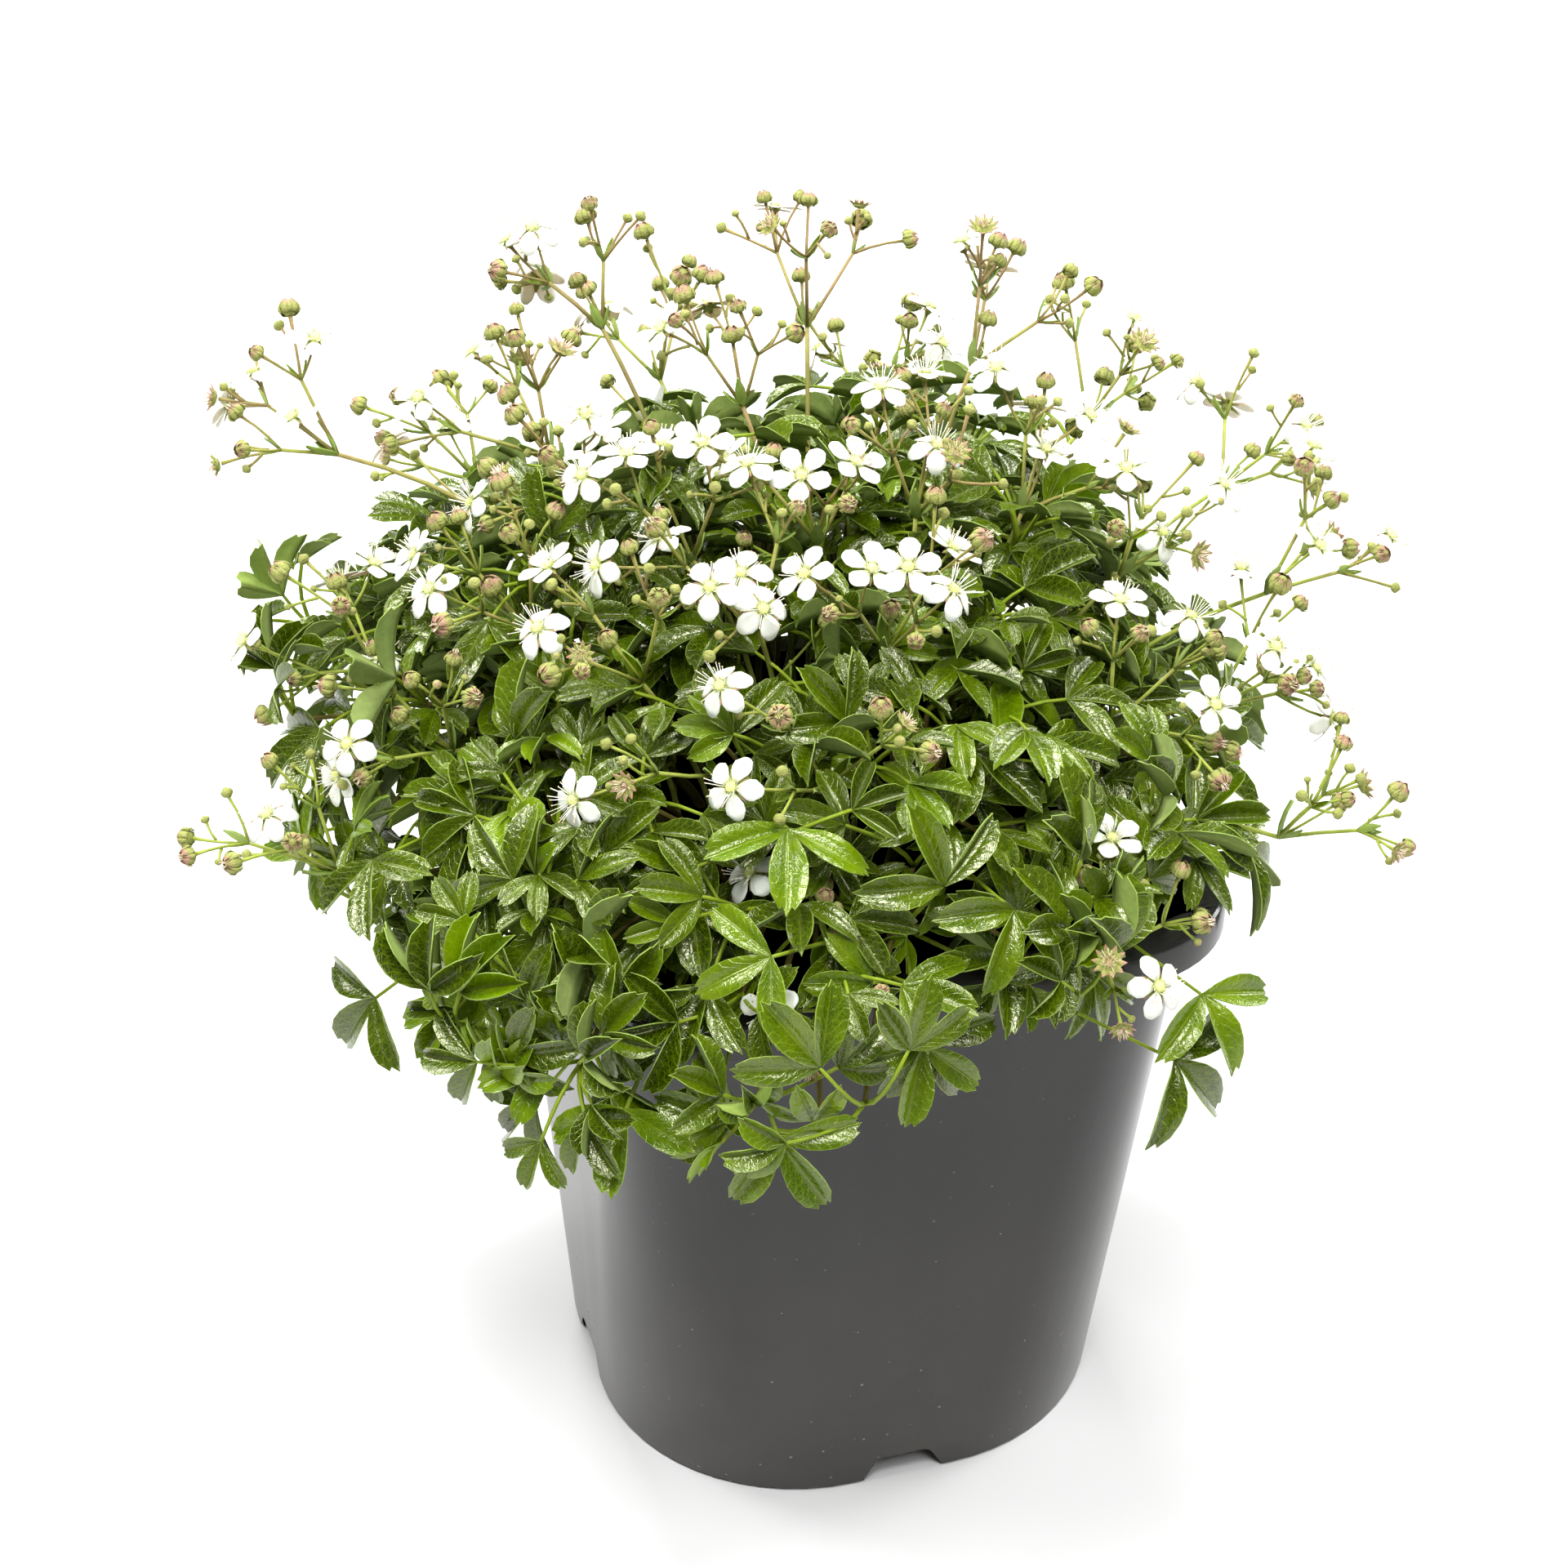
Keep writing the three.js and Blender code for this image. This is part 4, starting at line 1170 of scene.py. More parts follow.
def leafy_shoot(shoot):
    bm, draw = new_piece(), shoot["draw"]
    line = [*shoot["line"], shoot["crown"] + shoot["axis"] * STEM_TIP["past"]]
    add_tubes(bm, [(line, taper(SHOOT_RADIUS, STEM_TIP["radius"], len(line)), 0.5)], WOOD)
    petioles = []
    for leaf in shoot["leaves"]:
        under = leaf["joint"] - leaf["normal"] * PETIOLE_LINE["below"]
        middle = (shoot["crown"] + under) / 2 + UP * draw(*PETIOLE_LINE["rise"])
        line = curve_points(shoot["crown"], middle, under, 5)
        petioles.append((line, taper(*PETIOLE_LINE["radii"], len(line)), 0.4))
        add_leaf(bm, leaf, draw(0, 0.8), int(draw(0, OPEN_SHAPES)))
    for leaf in shoot["more"]:
        radii = taper(*PETIOLE_LINE["thin"], len(leaf["line"]))
        petioles.append((leaf["line"], radii, round(leaf["age"], 1)))
        add_leaf(bm, leaf, leaf["age"] ** AGE_POWER, int(leaf["shape"] * (OPEN_SHAPES + YOUNG_SHAPES)))
    petioles += add_tuft(bm, shoot, draw)
    twigs = [(twig, taper(TWIG["radius"], 0.5, len(twig)), 0.6) for twig in shoot["twigs"]]
    add_tubes(bm, twigs, WOOD, 0)
    add_tubes(bm, petioles, PETIOLE_SKIN, 0)
    return finish_piece(bm, "leafy_" + shoot["owner"], PLANT_FINISHES, shoot["owner"])


def count_faces(pieces):
    return sum(len(piece.data.polygons) for piece in pieces)


shoot_pieces = [leafy_shoot(shoot) for shoot in shoots]
print("leafy shoots:", len(shoot_pieces), "faces:", count_faces(shoot_pieces))

# %% [markdown]
# An open flower has five separate white petals that narrow to their base, green sepals that show
# between them, a pale eye, and a brush of white stamens that stand up and out, each with a small
# anther. Patterns differ in how far the petals bend back.

# %% Flower patterns
STAMENS, FIVE, AXIS_Z = 24, 5, Vector((0, 0, 1))
BLOOM_SIZE, BLOOM_LEAN = 1.1, turned(vec(0.1, -0.45, 0.1), UP, VIEW_BEARING)
PETAL_LENGTH, PETAL_HALF, PETAL_BROADEST = 4.5, 1.75, 0.64
FLOWER_SHAPES = [(0.02, (16, 60), (2.2, 3.3)), (-0.25, (14, 66), (2.6, 3.7)),
                 (0.18, (10, 48), (2.2, 3.2)), (-0.55, (16, 74), (2.8, 4.0))]


def petal_shape(lift):
    def shape(u, s):
        width = 0.2 + 0.8 * math.sin(math.pi / 2 * min(u / PETAL_BROADEST, 1)) ** 1.3
        width *= 1 - 0.5 * max(0, (u - PETAL_BROADEST) / (1 - PETAL_BROADEST)) ** 2.4
        reach = 0.9 + PETAL_LENGTH * u * (1 - 0.06 * s * s) * math.cos(lift)
        climb = PETAL_LENGTH * u * math.sin(lift) * (0.5 + 0.5 * u)
        rise = climb - 0.3 * u * u + 0.35 * s * s * width * u
        return Vector((reach, PETAL_HALF * s * width, 0.25 + rise))
    return shape


def sepal_shape(u, s):
    return Vector((0.7 + 2.5 * u, 0.62 * s * (1 - u) ** 0.8, -0.2 - 0.25 * u))


def whole_island(verts):
    seen, queue = {}, list(verts)
    while queue:
        v = queue.pop()
        if v not in seen:
            seen[v] = True
            queue += [edge.other_vert(v) for edge in v.link_edges]
    return list(seen)


def five_of(bm, along, across, shape, thickness, material, offset=0.0):
    """One blade, turned by its offset and repeated to five around the middle"""
    made = whole_island(blade_grid(bm, along, across, shape, thickness, (material,) * 3))
    turn = Matrix.Rotation(math.radians(offset), 3, "Z")
    bmesh.ops.rotate(bm, verts=made, cent=(0, 0, 0), matrix=turn)
    geometry = once(part for v in made for part in (v, *v.link_edges, *v.link_faces))
    bmesh.ops.spin(bm, geom=geometry, cent=(0, 0, 0), axis=AXIS_Z, steps=FIVE - 1, use_duplicate=True,
                   angle=math.radians(360 - 360 / FIVE))


def add_thread(bm, root, tip, radii, material, segments=3):
    made = bmesh.ops.create_cone(bm, cap_ends=True, segments=segments, radius1=radii[0],
                                 radius2=radii[1], depth=(tip - root).length)["verts"]
    turn = (tip - root).to_track_quat("Z", "Y").to_matrix().to_4x4()
    bmesh.ops.transform(bm, matrix=Matrix.Translation((root + tip) / 2) @ turn, verts=made)
    paint(made, material)


def add_ball(bm, centre, radius, material, squash=1.0, divisions=1):
    made = bmesh.ops.create_icosphere(bm, subdivisions=divisions, radius=radius)["verts"]
    for v in made:
        v.co.z *= squash
        v.co += centre
    paint(made, material)


def add_bead(bm, centre, radius, material):
    made = bmesh.ops.create_uvsphere(bm, u_segments=4, v_segments=2, radius=radius)["verts"]
    bmesh.ops.translate(bm, verts=made, vec=centre)
    paint(made, material)


def spokes(count, sway, draw):
    """Level directions all round, each swayed a little when its turn comes"""
    for i in range(count):
        bearing = math.radians(360 / count * i + draw(-sway, sway))
        yield Vector((math.cos(bearing), math.sin(bearing), 0))


def tipped(outward, tilt):
    return outward * math.sin(math.radians(tilt)) + AXIS_Z * math.cos(math.radians(tilt))


def add_brush(bm, tilt, length, draw):
    for outward in spokes(STAMENS, 7, draw):
        lean = draw(*tilt)
        root = outward * draw(0.75, 1.15) + AXIS_Z * 0.35
        tip = root + tipped(outward, lean) * draw(*length)
        add_thread(bm, root, tip, (0.085, 0.07), FILAMENT)
        add_bead(bm, tip, 0.17, ANTHER)


def flower_pattern(number, lift, tilt, length):
    bm, draw = new_pattern(), stream(61 + number)
    five_of(bm, 4, 4, petal_shape(lift), 0.16, PETAL)
    five_of(bm, 2, 2, sepal_shape, 0.2, CALYX, 36)
    add_ball(bm, AXIS_Z * 0.35, 0.95, EYE, 0.75, 2)
    add_thread(bm, AXIS_Z * -1.5, AXIS_Z * 0.2, (0.45, 1.25), CALYX, 8)
    add_brush(bm, tilt, length, draw)
    return close_pattern(bm, f"flower_{number}")


flowers = [flower_pattern(number, *shape) for number, shape in enumerate(FLOWER_SHAPES)]
print("flower faces:", [len(pattern.polygons) for pattern in flowers])

# %% [markdown]
# A bud is a small five-cornered lantern: the sepals close over it with their tips together, and
# narrow outer sepals stand against them. The larger ones have finished flowering and shut again
# round a tuft of dry stamens. They flush mauve towards the tip.

# %% Bud patterns
LANTERN_HEIGHTS = [0, 0.16, 0.35, 0.55, 0.75, 0.9, 1]
LANTERN_RADII = [0.15, 0.6, 0.92, 0.97, 0.7, 0.28, 0.02]
BUD_FOOT, SEPAL_FILM, SPENT_STAMENS = 0.85, 0.06, 20


def add_lantern(bm, top, squash, corners=0.17):
    flat = bm.verts.layers.float_vector["flat"]
    made = bmesh.ops.create_uvsphere(bm, u_segments=10, v_segments=7, radius=1)["verts"]
    for v in made:
        share = 1 - math.acos(max(-1, min(1, v.co.z))) / math.pi
        bearing = math.atan2(v.co.y, v.co.x)
        radius = np.interp(share, LANTERN_HEIGHTS, LANTERN_RADII)
        radius *= 1 + corners * math.cos(FIVE * bearing) * (0.4 + share)
        v[flat] = (share * 0.6, 0.5, 0)
        height = (share * (BUD_FOOT + top) - BUD_FOOT) * squash
        v.co = Vector((radius * math.cos(bearing), radius * math.sin(bearing), height))
    paint(made, CALYX)


def shut_sepal(breadth, stand, top):
    """Sepal that follows the bud from its shoulder to the point where all five meet"""
    def shape(u, s):
        climb = math.radians(-38 + 122 * u)
        y = s * breadth * (0.25 + 0.75 * math.sin(math.pi * min(0.2 + 0.8 * u, 1))) * (1 - u ** 4)
        x = stand * (0.98 * math.cos(climb) + 0.06 + 0.22 * u ** 6) - 0.4 * y * y
        return Vector((x, y, (BUD_FOOT if climb < 0 else top) * math.sin(climb) + 0.1 * u ** 5))
    return shape


def open_sepal(u, s):
    return Vector((0.5 + 1.25 * u, 0.55 * s * (1 - u) ** 0.7, -0.35 + 0.75 * u))


def bud_pattern(name, top, outer, dry, seed):
    bm, draw = new_pattern(), stream(seed)
    add_lantern(bm, top, 1.0)
    if outer:
        five_of(bm, 5, 2, shut_sepal(0.56, 1.1, top), SEPAL_FILM, CALYX)
        five_of(bm, 4, 2, shut_sepal(0.24, outer, top * 0.8), SEPAL_FILM, CALYX, 36)
    for outward in spokes(dry, 20, draw):
        root = outward * 0.25 + AXIS_Z * (top - 0.3)
        tip = root * draw(1.3, 1.7) + AXIS_Z * draw(0.2, 0.6)
        add_thread(bm, root, tip, (0.06, 0.04), DRY)
    return close_pattern(bm, name)


def spent_pattern(seed):
    bm, draw = new_pattern(), stream(seed)
    add_lantern(bm, 0.1, 0.8, 0.05)
    five_of(bm, 3, 2, open_sepal, 0.08, CALYX)
    five_of(bm, 2, 2, open_sepal, 0.08, CALYX, 36)
    for outward in spokes(SPENT_STAMENS, 9, draw):
        lean = draw(5, 62)
        root = outward * 0.35
        tip = root + tipped(outward, lean) * draw(0.9, 1.5)
        add_thread(bm, root, tip, (0.05, 0.04), DRY)
    return close_pattern(bm, "spent_flower")


small_bud = bud_pattern("small_bud", 1.0, 0, 0, 71)
large_bud = bud_pattern("large_bud", 1.15, 1.2, 0, 72)
shut_flower = bud_pattern("shut_flower", 1.0, 1.28, 9, 73)
spent_flower = spent_pattern(74)
print("bud faces:", [len(p.polygons) for p in (small_bud, large_bud, shut_flower, spent_flower)])


# %% [markdown]
# A bract is a narrow, folded blade that sits under a fork.


# %% Bract pattern
def bract_shape(u, s):
    width = math.sin(math.pi * min(0.12 + 0.88 * u, 1)) ** 0.8
    return Vector((u, 0.15 * s * width, 0.25 * u * u + 0.05 * abs(s)))


def bract_pattern():
    bm = new_pattern()
    blade_grid(bm, 3, 2, bract_shape, 0.05, (UPPER, UNDER, MARGIN))
    return close_pattern(bm, "bract")


bract = bract_pattern()
print("bract faces:", len(bract.polygons))

# %% [markdown]
# A spray is thin, hairy and many times forked. The three main branches and their six ends stand
# where the solids have them. Finer side stalks with smaller buds leave the forks, and a narrow
# bract or two sits under each fork.


# %% Flower sprays
TUBES = {"stem": (0.62, 0.44), "branch": (0.44, 0.36, 0.36), "side": (0.34, 0.28, 0.26, 0.32),
         "pedicel": (0.36, 0.29, 0.27, 0.29, 0.42)}
FLOWER_BASE, SMALL_BUD, LARGE_SHARE, SHUT_SHARE = 1.4, 1.3, 0.5, 0.85
SIDE_BUD = {"length": (3.5, 6.5), "size": (0.7, 1.25), "tilt": (30, 55), "open": 0}
THIRD_HEAD = {"length": (6, 12), "size": (1.1, 1.9), "tilt": (20, 50), "open": 0.3}
MIDDLE_HEAD = {"length": (9, 15), "size": (1.5, 2), "tilt": (0, 8), "open": 0.4}
LOW_HEAD = {"length": (10, 18), "size": (1.0, 1.8), "tilt": (30, 45), "open": 0.3}
BRACTS = {"sway": (-40, 40), "tilt": (28, 60), "age": (0.2, 0.9), "end": (3, 5.5), "fork": (4, 8),
          "stem": (5, 9)}
ARM = {"sag": (-0.5, 0.5), "bend": (0, 0.9), "side_bud_at": (0.3, 0.6), "third": 300,
       "third_sway": (-40, 40)}


def head_matrix(point, direction, size, spin):
    x = level(direction, spin)
    return pose_matrix(point, x, cross(direction, x), direction, size)


def add_bracts(bm, point, direction, count, length, draw):
    for number in range(count):
        azimuth = 360 / count * number + draw(*BRACTS["sway"])
        heading = leaning(direction, azimuth, draw(*BRACTS["tilt"]))
        side = unit(cross(direction, heading))
        place = pose_matrix(point, heading, side, cross(heading, side), draw(*length))
        stamp(bm, bract, place, draw(*BRACTS["age"]))


def add_bloom(bm, point, normal, draw):
    pattern = flowers[int(draw(0, len(flowers)))]
    stamp(bm, pattern, head_matrix(point, normal, BLOOM_SIZE, draw(0, 72)), draw(0, 0.5))


def add_bud(bm, point, direction, size, draw):
    kind = draw(0, 1)
    pattern = large_bud if kind < LARGE_SHARE else shut_flower if kind < SHUT_SHARE else spent_flower
    if size < SMALL_BUD:
        pattern = small_bud
    stamp(bm, pattern, head_matrix(point, direction, size, draw(0, 72)), draw(0, 1))


def side_head(bm, root, direction, kind, owner, draw):
    """Short stalk with a bud or a flower, where there is room; gives its tube"""
    length, size = draw(*kind["length"]), draw(*kind["size"])
    tip = root + direction * length
    blooms = draw(0, 1) < kind["open"]
    normal = unit(direction + UP * FLOWER["lift"] + BLOOM_LEAN)
    ball = flower_samples(tip, normal) if blooms else samples_at(tip, size)
    if not clear(ball, owner, 0) or not clear_of_pot(ball) or not in_box(ball):
        return []
    keep(ball, owner + "_more")
    if blooms:
        add_bloom(bm, tip, normal, draw)
    else:
        add_bud(bm, tip, direction, size, draw)
    stop = tip - (normal * FLOWER_BASE if blooms else direction * size * 0.7)
    bend = (root + tip) / 2 + level(direction, draw(0, 360)) * length * 0.08
    return [(curve_points(root, bend, stop, 3), TUBES["side"], 0.5)]


def add_branch(bm, spray, branch, draw):
    fork, end, direction, owner = spray["fork"], branch["end"], branch["direction"], spray["owner"]
    tubes = [([fork, (fork + end) / 2 + UP * draw(*ARM["sag"]), end], TUBES["branch"], 0.5)]
    add_bracts(bm, end, direction, 2, BRACTS["end"], draw)
    for one in branch["ends"]:
        tip, heading = one["tip"], one["heading"]
        if one["open"]:
            normal = unit(one["normal"] + BLOOM_LEAN)
            stop = tip - normal * FLOWER_BASE
            add_bloom(bm, tip, normal, draw)
        else:
            stop = tip - heading * one["size"] * 0.8
            add_bud(bm, tip, heading, one["size"], draw)
        bend = (end + stop) / 2 + level(heading, draw(0, 360)) * draw(*ARM["bend"])
        tubes.append((curve_points(end, bend, stop, 4), TUBES["pedicel"], 0.5))
        joint = end + (stop - end) * draw(*ARM["side_bud_at"])
        sideways = leaning(heading, draw(0, 360), draw(*SIDE_BUD["tilt"]))
        tubes += side_head(bm, joint, sideways, SIDE_BUD, owner, draw)
    for _ in range(2):
        azimuth = branch["spin"] + ARM["third"] + draw(*ARM["third_sway"])
        third = leaning(direction, azimuth, draw(*THIRD_HEAD["tilt"]))
        tubes += side_head(bm, end, third, THIRD_HEAD, owner, draw)
    return tubes


def flower_spray(spray):
    bm, draw = new_piece(), spray["draw"]
    fork, lean, owner, line = spray["fork"], spray["lean"], spray["owner"], spray["line"]
    upward = unit(line[-4] - line[-5])
    tubes = [(line, taper(*TUBES["stem"], len(line)), 0.5)]
    add_bracts(bm, fork, lean, 3, BRACTS["fork"], draw)
    add_bracts(bm, line[-5], upward, 1, BRACTS["stem"], draw)
    for branch in spray["branches"]:
        if branch:
            tubes += add_branch(bm, spray, branch, draw)
    middle = leaning(lean, draw(0, 360), draw(*MIDDLE_HEAD["tilt"]))
    tubes += side_head(bm, fork, middle, MIDDLE_HEAD, owner, draw)
    low = leaning(upward, draw(0, 360), draw(*LOW_HEAD["tilt"]))
    tubes += side_head(bm, line[-4], low, LOW_HEAD, owner, draw)
    add_tubes(bm, tubes, SPRAY_SKIN)
    return finish_piece(bm, "flower_" + owner, PLANT_FINISHES, owner)


spray_pieces = [flower_spray(spray) for spray in sprays]
print("flower sprays:", len(spray_pieces), "faces:", count_faces(spray_pieces))

# %% [markdown]
# The pot is moulded from thin dark plastic, square with round corners at the rim and nearly round
# at the foot. Its section is walked once, from the underside up the outer wall, round the hollow
# rim and down the inner wall. A ring of the plan's shape is made at each stop and bridged to the
# last one.

# %% Pot section
CORNER_POINTS = 15
WALL_STEPS = 14
THROAT = 128
SKIRT_FOOT = RIM["z"] - 7.5


def wall_at(z, inset=0):
    share = z / WALL_TOP["z"]
    half = FOOT["half"] + (WALL_TOP["half"] - FOOT["half"]) * share
    corner = FOOT["corner"] + (WALL_TOP["corner"] - FOOT["corner"]) * share
    return half - inset, corner - inset, z


def rim_at(z, inset=0):
    return RIM["half"] - inset, RIM["corner"] - inset, z


def climb(first, last, inset=0):
    return [wall_at(first + (last - first) * i / WALL_STEPS, inset) for i in range(WALL_STEPS + 1)]


def plan_ring(bm, half, corner, z):
    """Rounded square, as a circle whose quarters are moved out to the corners"""
    made = bmesh.ops.create_circle(bm, segments=4 * CORNER_POINTS, radius=1)["verts"]
    for number, v in enumerate(made):
        quarter, step = divmod(number, CORNER_POINTS)
        angle = (quarter + step / (CORNER_POINTS - 1)) * math.pi / 2
        middle = (quarter + 0.5) * math.pi / 2
        shift = (half - corner) * math.sqrt(2)
        v.co = Vector((shift * math.cos(middle) + corner * math.cos(angle),
                       shift * math.sin(middle) + corner * math.sin(angle), z)) * MM
    return once(edge for v in made for edge in v.link_edges)


def loft(bm, stops):
    rings = [plan_ring(bm, *stop) for stop in stops]
    for below, above in zip(rings, rings[1:]):
        bmesh.ops.bridge_loops(bm, edges=below + above)
    for ring in (rings[0], rings[-1]):
        bmesh.ops.contextual_create(bm, geom=ring)
    bmesh.ops.recalc_face_normals(bm, faces=bm.faces)


POT_SECTION = [
    wall_at(0, 0.7), wall_at(0.7), *climb(2, 130.2), rim_at(130.5, 2.2), rim_at(130.2, WALL),
    rim_at(SKIRT_FOOT + 0.4, WALL), rim_at(SKIRT_FOOT, 1.2), rim_at(SKIRT_FOOT, 0.35),
    rim_at(SKIRT_FOOT + 0.4), rim_at(131.0), rim_at(131.6, 0.25), rim_at(132, 0.8),
    (MOUTH["half"] + 0.7, MOUTH["corner"] + 0.7, 132), (MOUTH["half"], MOUTH["corner"], 131.4),
    *climb(THROAT, WALL, WALL),
]
print("stops along the pot's section:", len(POT_SECTION))

# %% [markdown]
# Each side of the foot has a notch where water runs out. It leads into a pocket in the floor with
# a drain hole over it. The pocket's walls are added to the pot and the channel is cut out of both.


# %% Pot
NOTCH = {"wide": 18, "narrow": 11, "high": 6, "deep": 22, "past": 12, "rounding": 1.4, "flare": 3}
DRAIN_RADIUS, DRAIN_INSET, DRAIN_LENGTH = 3, 14, 6
POCKET_LOW, CUT_LOW, SOIL_CUT_LOW = 0.05, -3, -1
SAME_PLACE, SMOOTH_BELOW = 1e-6, 28


def channel(bm, grow, low):
    """Trapezoid channel that runs in from the side, with its upper edges rounded"""
    made = bmesh.ops.create_cube(bm, size=1)["verts"]
    top = NOTCH["high"] + grow
    for v in made:
        high = v.co.z > 0
        x = FOOT["half"] + NOTCH["past"] if v.co.x > 0 else FOOT["half"] - NOTCH["deep"] - grow
        y = (NOTCH["narrow"] if high else NOTCH["wide"] + NOTCH["flare"] * (low < 0)) / 2 + grow
        v.co = Vector((x, math.copysign(y, v.co.y), top if high else low)) * MM
    edges = [edge for v in made for edge in v.link_edges
             if all(end.co.z > 0.9 * top * MM for end in edge.verts)
             and abs(edge.verts[0].co.y - edge.verts[1].co.y) < SAME_PLACE]
    bmesh.ops.bevel(bm, geom=once(edges), offset=NOTCH["rounding"] * MM, offset_type="OFFSET",
                    affect="EDGES", segments=4, profile=0.5, material=-1)


def four_sides(name, build):
    bm = bmesh.new()
    build(bm)
    bmesh.ops.spin(bm, geom=bm.verts[:] + bm.edges[:] + bm.faces[:], cent=(0, 0, 0), axis=(0, 0, 1),
                   angle=math.radians(270), steps=3, use_duplicate=True)
    bmesh.ops.recalc_face_normals(bm, faces=bm.faces)
    return mesh_of(bm, name)


def drain(bm):
    made = bmesh.ops.create_cone(bm, cap_ends=True, segments=24, radius1=DRAIN_RADIUS * MM,
                                 radius2=DRAIN_RADIUS * MM, depth=DRAIN_LENGTH * MM)["verts"]
    place = Vector((FOOT["half"] - DRAIN_INSET, 0, NOTCH["high"] + WALL)) * MM
    bmesh.ops.translate(bm, verts=made, vec=place)


def combine(target, other, operation):
    step = target.modifiers.new(operation, "BOOLEAN")
    step.operation, step.object, step.solver = operation, other, "EXACT"
    scene_now = bpy.context.evaluated_depsgraph_get()
    result = bpy.data.meshes.new_from_object(target.evaluated_get(scene_now))
    target.modifiers.clear()
    target.data = result


def remove(*tools):
    for tool in tools:
        bpy.data.objects.remove(tool)


bm = bmesh.new()
loft(bm, POT_SECTION)
pot = mesh_of(bm, "pot_shell")
pocket = four_sides("pocket", lambda bm: channel(bm, WALL, POCKET_LOW))
bm = bmesh.new()
loft(bm, [wall_at(0.02, 0.1), wall_at(8, 0.1), wall_at(16, 0.1)])
inside = mesh_of(bm, "inside")
combine(pocket, inside, "INTERSECT")
combine(pot, pocket, "UNION")
cut = four_sides("cut", lambda bm: channel(bm, 0, CUT_LOW))
holes = four_sides("drains", drain)
combine(pot, cut, "DIFFERENCE")
combine(pot, holes, "DIFFERENCE")
remove(pocket, inside, cut, holes)

bm = opened(pot.data)
bmesh.ops.remove_doubles(bm, verts=bm.verts, dist=SAME_PLACE)
for face in bm.faces:
    face.smooth = True
for edge in bm.edges:
    edge.smooth = len(edge.link_faces) == 2 and edge.calc_face_angle(0) < math.radians(SMOOTH_BELOW)
print("pot faces:", len(bm.faces), "open edges:", sum(len(edge.link_faces) != 2 for edge in bm.edges))
bm.to_mesh(pot.data)
bm.free()

# %% [markdown]
# The plastic is an anthracite with a sheen that shows the lamps as soft bands. A fine mould texture
# breaks up the gloss, and long faint streaks run down the wall. Pale specks of dust lie on it. Towards
# the foot the wall is made paler, partly by a faint film of dust and partly by painted light.


# %% Pot plastic
def pot_plastic():
    material, place, _ = finish("anthracite_plastic", 0.3, Specular_IOR_Level=0.4)
    streaks = cloud(scaled(place, 90, 90, 5), 1.0)
    plain = tone("plastic", streaks)
    low = 1 - ramp(axis_of(place, "Z"), 0.0, 0.09)
    spread = ramp(cloud(place, 60), 0.35, 0.75)
    specks = 1 - ramp(cells(place, 420), 0.08, 0.16)
    chosen = ramp(cloud(place, 330, 1.0), 0.59, 0.66)
    dust = specks * chosen * (low * 0.75 + 0.15)
    # Painted light: towards the foot the colour is mixed paler. Part of this is a faint dust film, and
    # part is painted light that lifts the shade at the foot.
    dust_film_and_painted_light = spread * low * 0.03 + low * 0.09
    mix(plain, srgb(DUST_AND_PAINTED_LIGHT), dust + dust_film_and_painted_light).feeds("Base Color")
    (0.15 + streaks * 0.08 + dust * 0.4 + low * 0.03).feeds("Roughness")
    raised(cloud(place, 2600) * 0.5 + dust * 2.0, 0.35, 0.0001)
    return material


pot.data.materials.clear()
pot.data.materials.append(pot_plastic())
stand_for(pot, "pot")

# %% [markdown]
# The potting soil is dark, fibrous and lumpy. A ring-wise surface is heaped and pitted by noise,
# and crumbs, bits of bark and fine dry roots lie on it. It ends a little below the rim, inside the
# wall, and the pockets of the floor are cut out of it.

# %% Soil body
SOIL_SHARES = [1.0, 0.985, 0.95, 0.9, 0.84, 0.77, 0.69, 0.6, 0.5, 0.4, 0.3, 0.2, 0.1]
SOIL_INSET = WALL + GAP
HEAPED, LUMPS, GRAINS = 0.9, {"scale": 0.055, "height": 2.2}, {"scale": 0.45, "height": 0.9}


def soil_height(x, y):
    lumps = noise.fractal(Vector((x, y, 0)) * LUMPS["scale"], 1.0, 2.0, 4,
                          noise_basis="PERLIN_ORIGINAL")
    fine = noise.cell(Vector((x, y, 3)) * GRAINS["scale"]) - 0.5
    return SOIL_TOP + HEAPED + lumps * LUMPS["height"] + fine * GRAINS["height"]


def soil_body():
    bm = bmesh.new()
    stops = [wall_at(2, SOIL_INSET), wall_at(40, SOIL_INSET), wall_at(80, SOIL_INSET),
             wall_at(SOIL_TOP - 4, SOIL_INSET)]
    half, corner, _ = wall_at(SOIL_TOP, SOIL_INSET)
    stops += [(half * share, corner * share, SOIL_TOP) for share in SOIL_SHARES]
    loft(bm, stops)
    for v in bm.verts:
        if v.co.z > (SOIL_TOP - 1) * MM:
            v.co.z = soil_height(v.co.x / MM, v.co.y / MM) * MM
    body = mesh_of(bm, "soil_body")
    pockets = four_sides("pockets", lambda bm: channel(bm, WALL + GAP, SOIL_CUT_LOW))
    combine(body, pockets, "DIFFERENCE")
    bm = opened(body.data)
    remove(body, pockets)
    for face in bm.faces:
        face.smooth, face.material_index = False, 0
    return bm


def soil_ground():
    material, place, _ = finish("potting_soil", 0.92)
    grains = cells(place, 520)
    fibres = cloud(scaled(place, 1500, 240, 900), 1.0)
    dark = tone("soil", cloud(place, 240))
    mix(dark, srgb(FIBRE), ramp(fibres, 0.62, 0.8) * 0.5).feeds("Base Color")
    (0.8 + grains * 0.2).feeds("Roughness")
    raised(grains + fibres * 0.5, 1.0, 0.0008)
    return material


def bark_bits():
    material, place, _ = finish("bark_and_roots", 0.85)
    grain = cloud(scaled(place, 900, 300, 900), 1.0)
    tone("bark", grain).feeds("Base Color")
    raised(grain, 0.6, 0.0003)
    return material


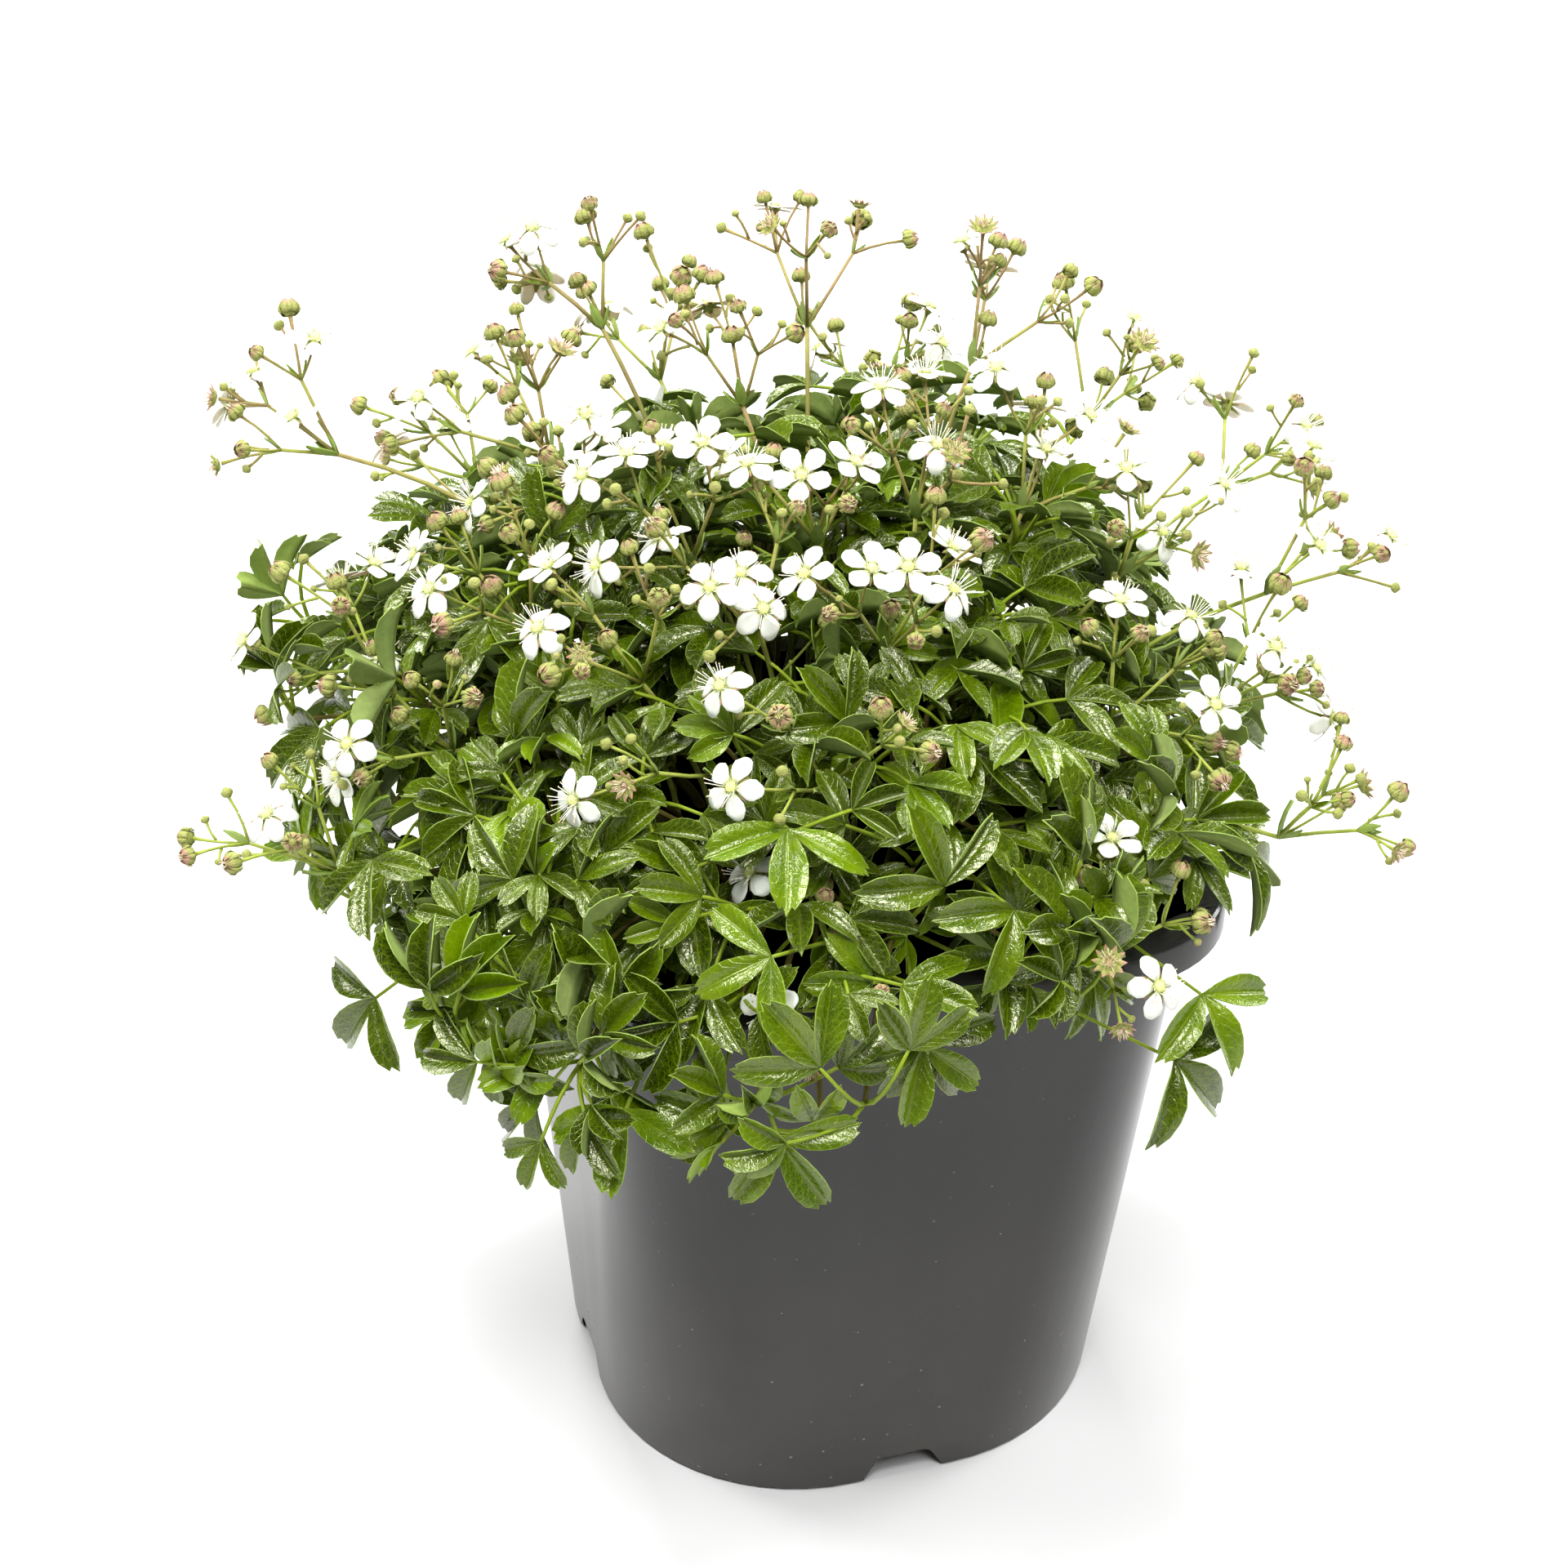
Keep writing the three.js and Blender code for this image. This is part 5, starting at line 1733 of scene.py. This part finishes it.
# %% [markdown]
# Crumbs and chips of bark lie scattered on the surface, and fine roots wander over it in short
# steps. All of them keep clear of the wall.

# %% Soil with its crumbs, bark and roots
CRUMBS, BARK, ROOTS, ROOT_STEPS, FROM_WALL, FULL_TURN = 420, 60, 34, 8, 4, 6.28


def off_the_wall(x, y):
    return reach_past(vec(x, y, 0)[None], MOUTH)[0] < -FROM_WALL


def on_soil(draw, widest=0.95):
    half = wall_at(SOIL_TOP, SOIL_INSET)[0] * widest
    while True:
        x, y = draw(-half, half), draw(-half, half)
        if off_the_wall(x, y):
            return vec(x, y, soil_height(x, y))


def litter(bm, draw):
    for number in range(CRUMBS + BARK):
        point, size = on_soil(draw), draw(0.4, 1.5)
        bark_chip = number >= CRUMBS
        made = bmesh.ops.create_icosphere(bm, subdivisions=1, radius=size * MM)["verts"]
        stretch = (draw(1.4, 3.2), 0.7, 0.4) if bark_chip else (1, draw(0.6, 1), draw(0.5, 0.9))
        turn = Matrix.Rotation(draw(0, FULL_TURN), 4, "Z") @ Matrix.Rotation(draw(-0.5, 0.5), 4, "X")
        bmesh.ops.scale(bm, verts=made, vec=Vector(stretch))
        bmesh.ops.transform(bm, verts=made, matrix=Matrix.Translation(Vector(point) * MM) @ turn)
        for v in made:
            v.co += Vector((draw(-1, 1), draw(-1, 1), draw(-1, 1))) * size * 0.2 * MM
        paint(made, int(bark_chip))


def root_line(draw):
    start = on_soil(draw, 0.85)
    heading, points = draw(0, FULL_TURN), []
    for step in range(ROOT_STEPS):
        x, y = start[0], start[1]
        if not off_the_wall(x, y):
            break
        points.append(vec(x, y, soil_height(x, y) + 0.5 + math.sin(step) * 0.5))
        heading += draw(-0.5, 0.5)
        start = start + vec(math.cos(heading), math.sin(heading), 0) * draw(2, 4)
    return points


def soil_piece():
    bm, draw = soil_body(), stream(17)
    bm.verts.layers.float.new("tint")
    litter(bm, draw)
    lines = [points for points in (root_line(draw) for _ in range(ROOTS)) if len(points) > 2]
    add_tubes(bm, [(points, taper(0.32, 0.15, len(points)), 0.5) for points in lines], 1, 0)
    return finish_piece(bm, "potting_soil", [soil_ground(), bark_bits()], "soil")


soil = soil_piece()
print("soil faces:", len(soil.data.polygons))

# %% [markdown]
# The part stands on a plain pale floor. Eight round lamps stand round it and above it, under a dim
# sky, as on a table for product pictures. They are small enough to put clear wet highlights on the
# leaves, and together they light the floor to a plain white round the pot.

# %% Floor
FLOOR_HALF = 4
floor_finish = two_tone("pale_floor", 0.9, 3, Specular_IOR_Level=0.1)
bm = bmesh.new()
bmesh.ops.create_grid(bm, x_segments=1, y_segments=1, size=FLOOR_HALF)
floor = mesh_of(bm, "floor")
floor.data.materials.append(floor_finish)
floor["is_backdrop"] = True

# %% Light
SKY, LAMP_SIZE, LIT_POINT = 0.15, 0.48, Vector((0, 0, 0.13))
LIGHTS = [
    ("light_behind", (0.0, 1.3, 0.95), 14),
    ("light_behind_left", (-1.0, 0.85, 1.1), 10),
    ("light_above_behind", (-0.1, 0.65, 1.5), 16),
    ("light_above_left", (-0.8, -0.1, 1.4), 14),
    ("light_above_right", (0.75, 0.0, 1.4), 12),
    ("light_above_front", (-0.2, -0.7, 1.55), 16),
    ("light_front", (0.05, -1.15, 1.35), 8),
    ("light_right", (1.2, 0.3, 0.6), 8),
]
world = bpy.data.worlds.new("studio")
world.use_nodes = True
sky = world.node_tree.nodes["Background"]
sky.inputs["Color"].default_value = (1, 1, 1, 1)
sky.inputs["Strength"].default_value = SKY
bpy.context.scene.world = world
for name, place, power in LIGHTS:
    lamp = bpy.data.lights.new(name, "AREA")
    lamp.shape, lamp.size, lamp.energy = "DISK", LAMP_SIZE, power
    holder = bpy.data.objects.new(name, lamp)
    holder.location = place
    holder.rotation_euler = (LIT_POINT - Vector(place)).to_track_quat("-Z", "Y").to_euler()
    bpy.context.scene.collection.objects.link(holder)
bpy.context.scene.view_settings.view_transform = "Standard"
print("lights:", [light[0] for light in LIGHTS])

# %% [markdown]
# The dressed model should stay as large as the solids, so both boxes are printed.

# %% Boxes
dressed_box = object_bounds()
boxes = {"solid": [list(corner) for corner in solid_box],
         "dressed": [list(corner) for corner in dressed_box]}
for name, corners in boxes.items():
    print(name, [[round(x * 1000, 1) for x in corner] for corner in corners])
triangles = sum(len(face.vertices) - 2 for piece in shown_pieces() for face in piece.data.polygons)
print("triangles in all:", triangles)
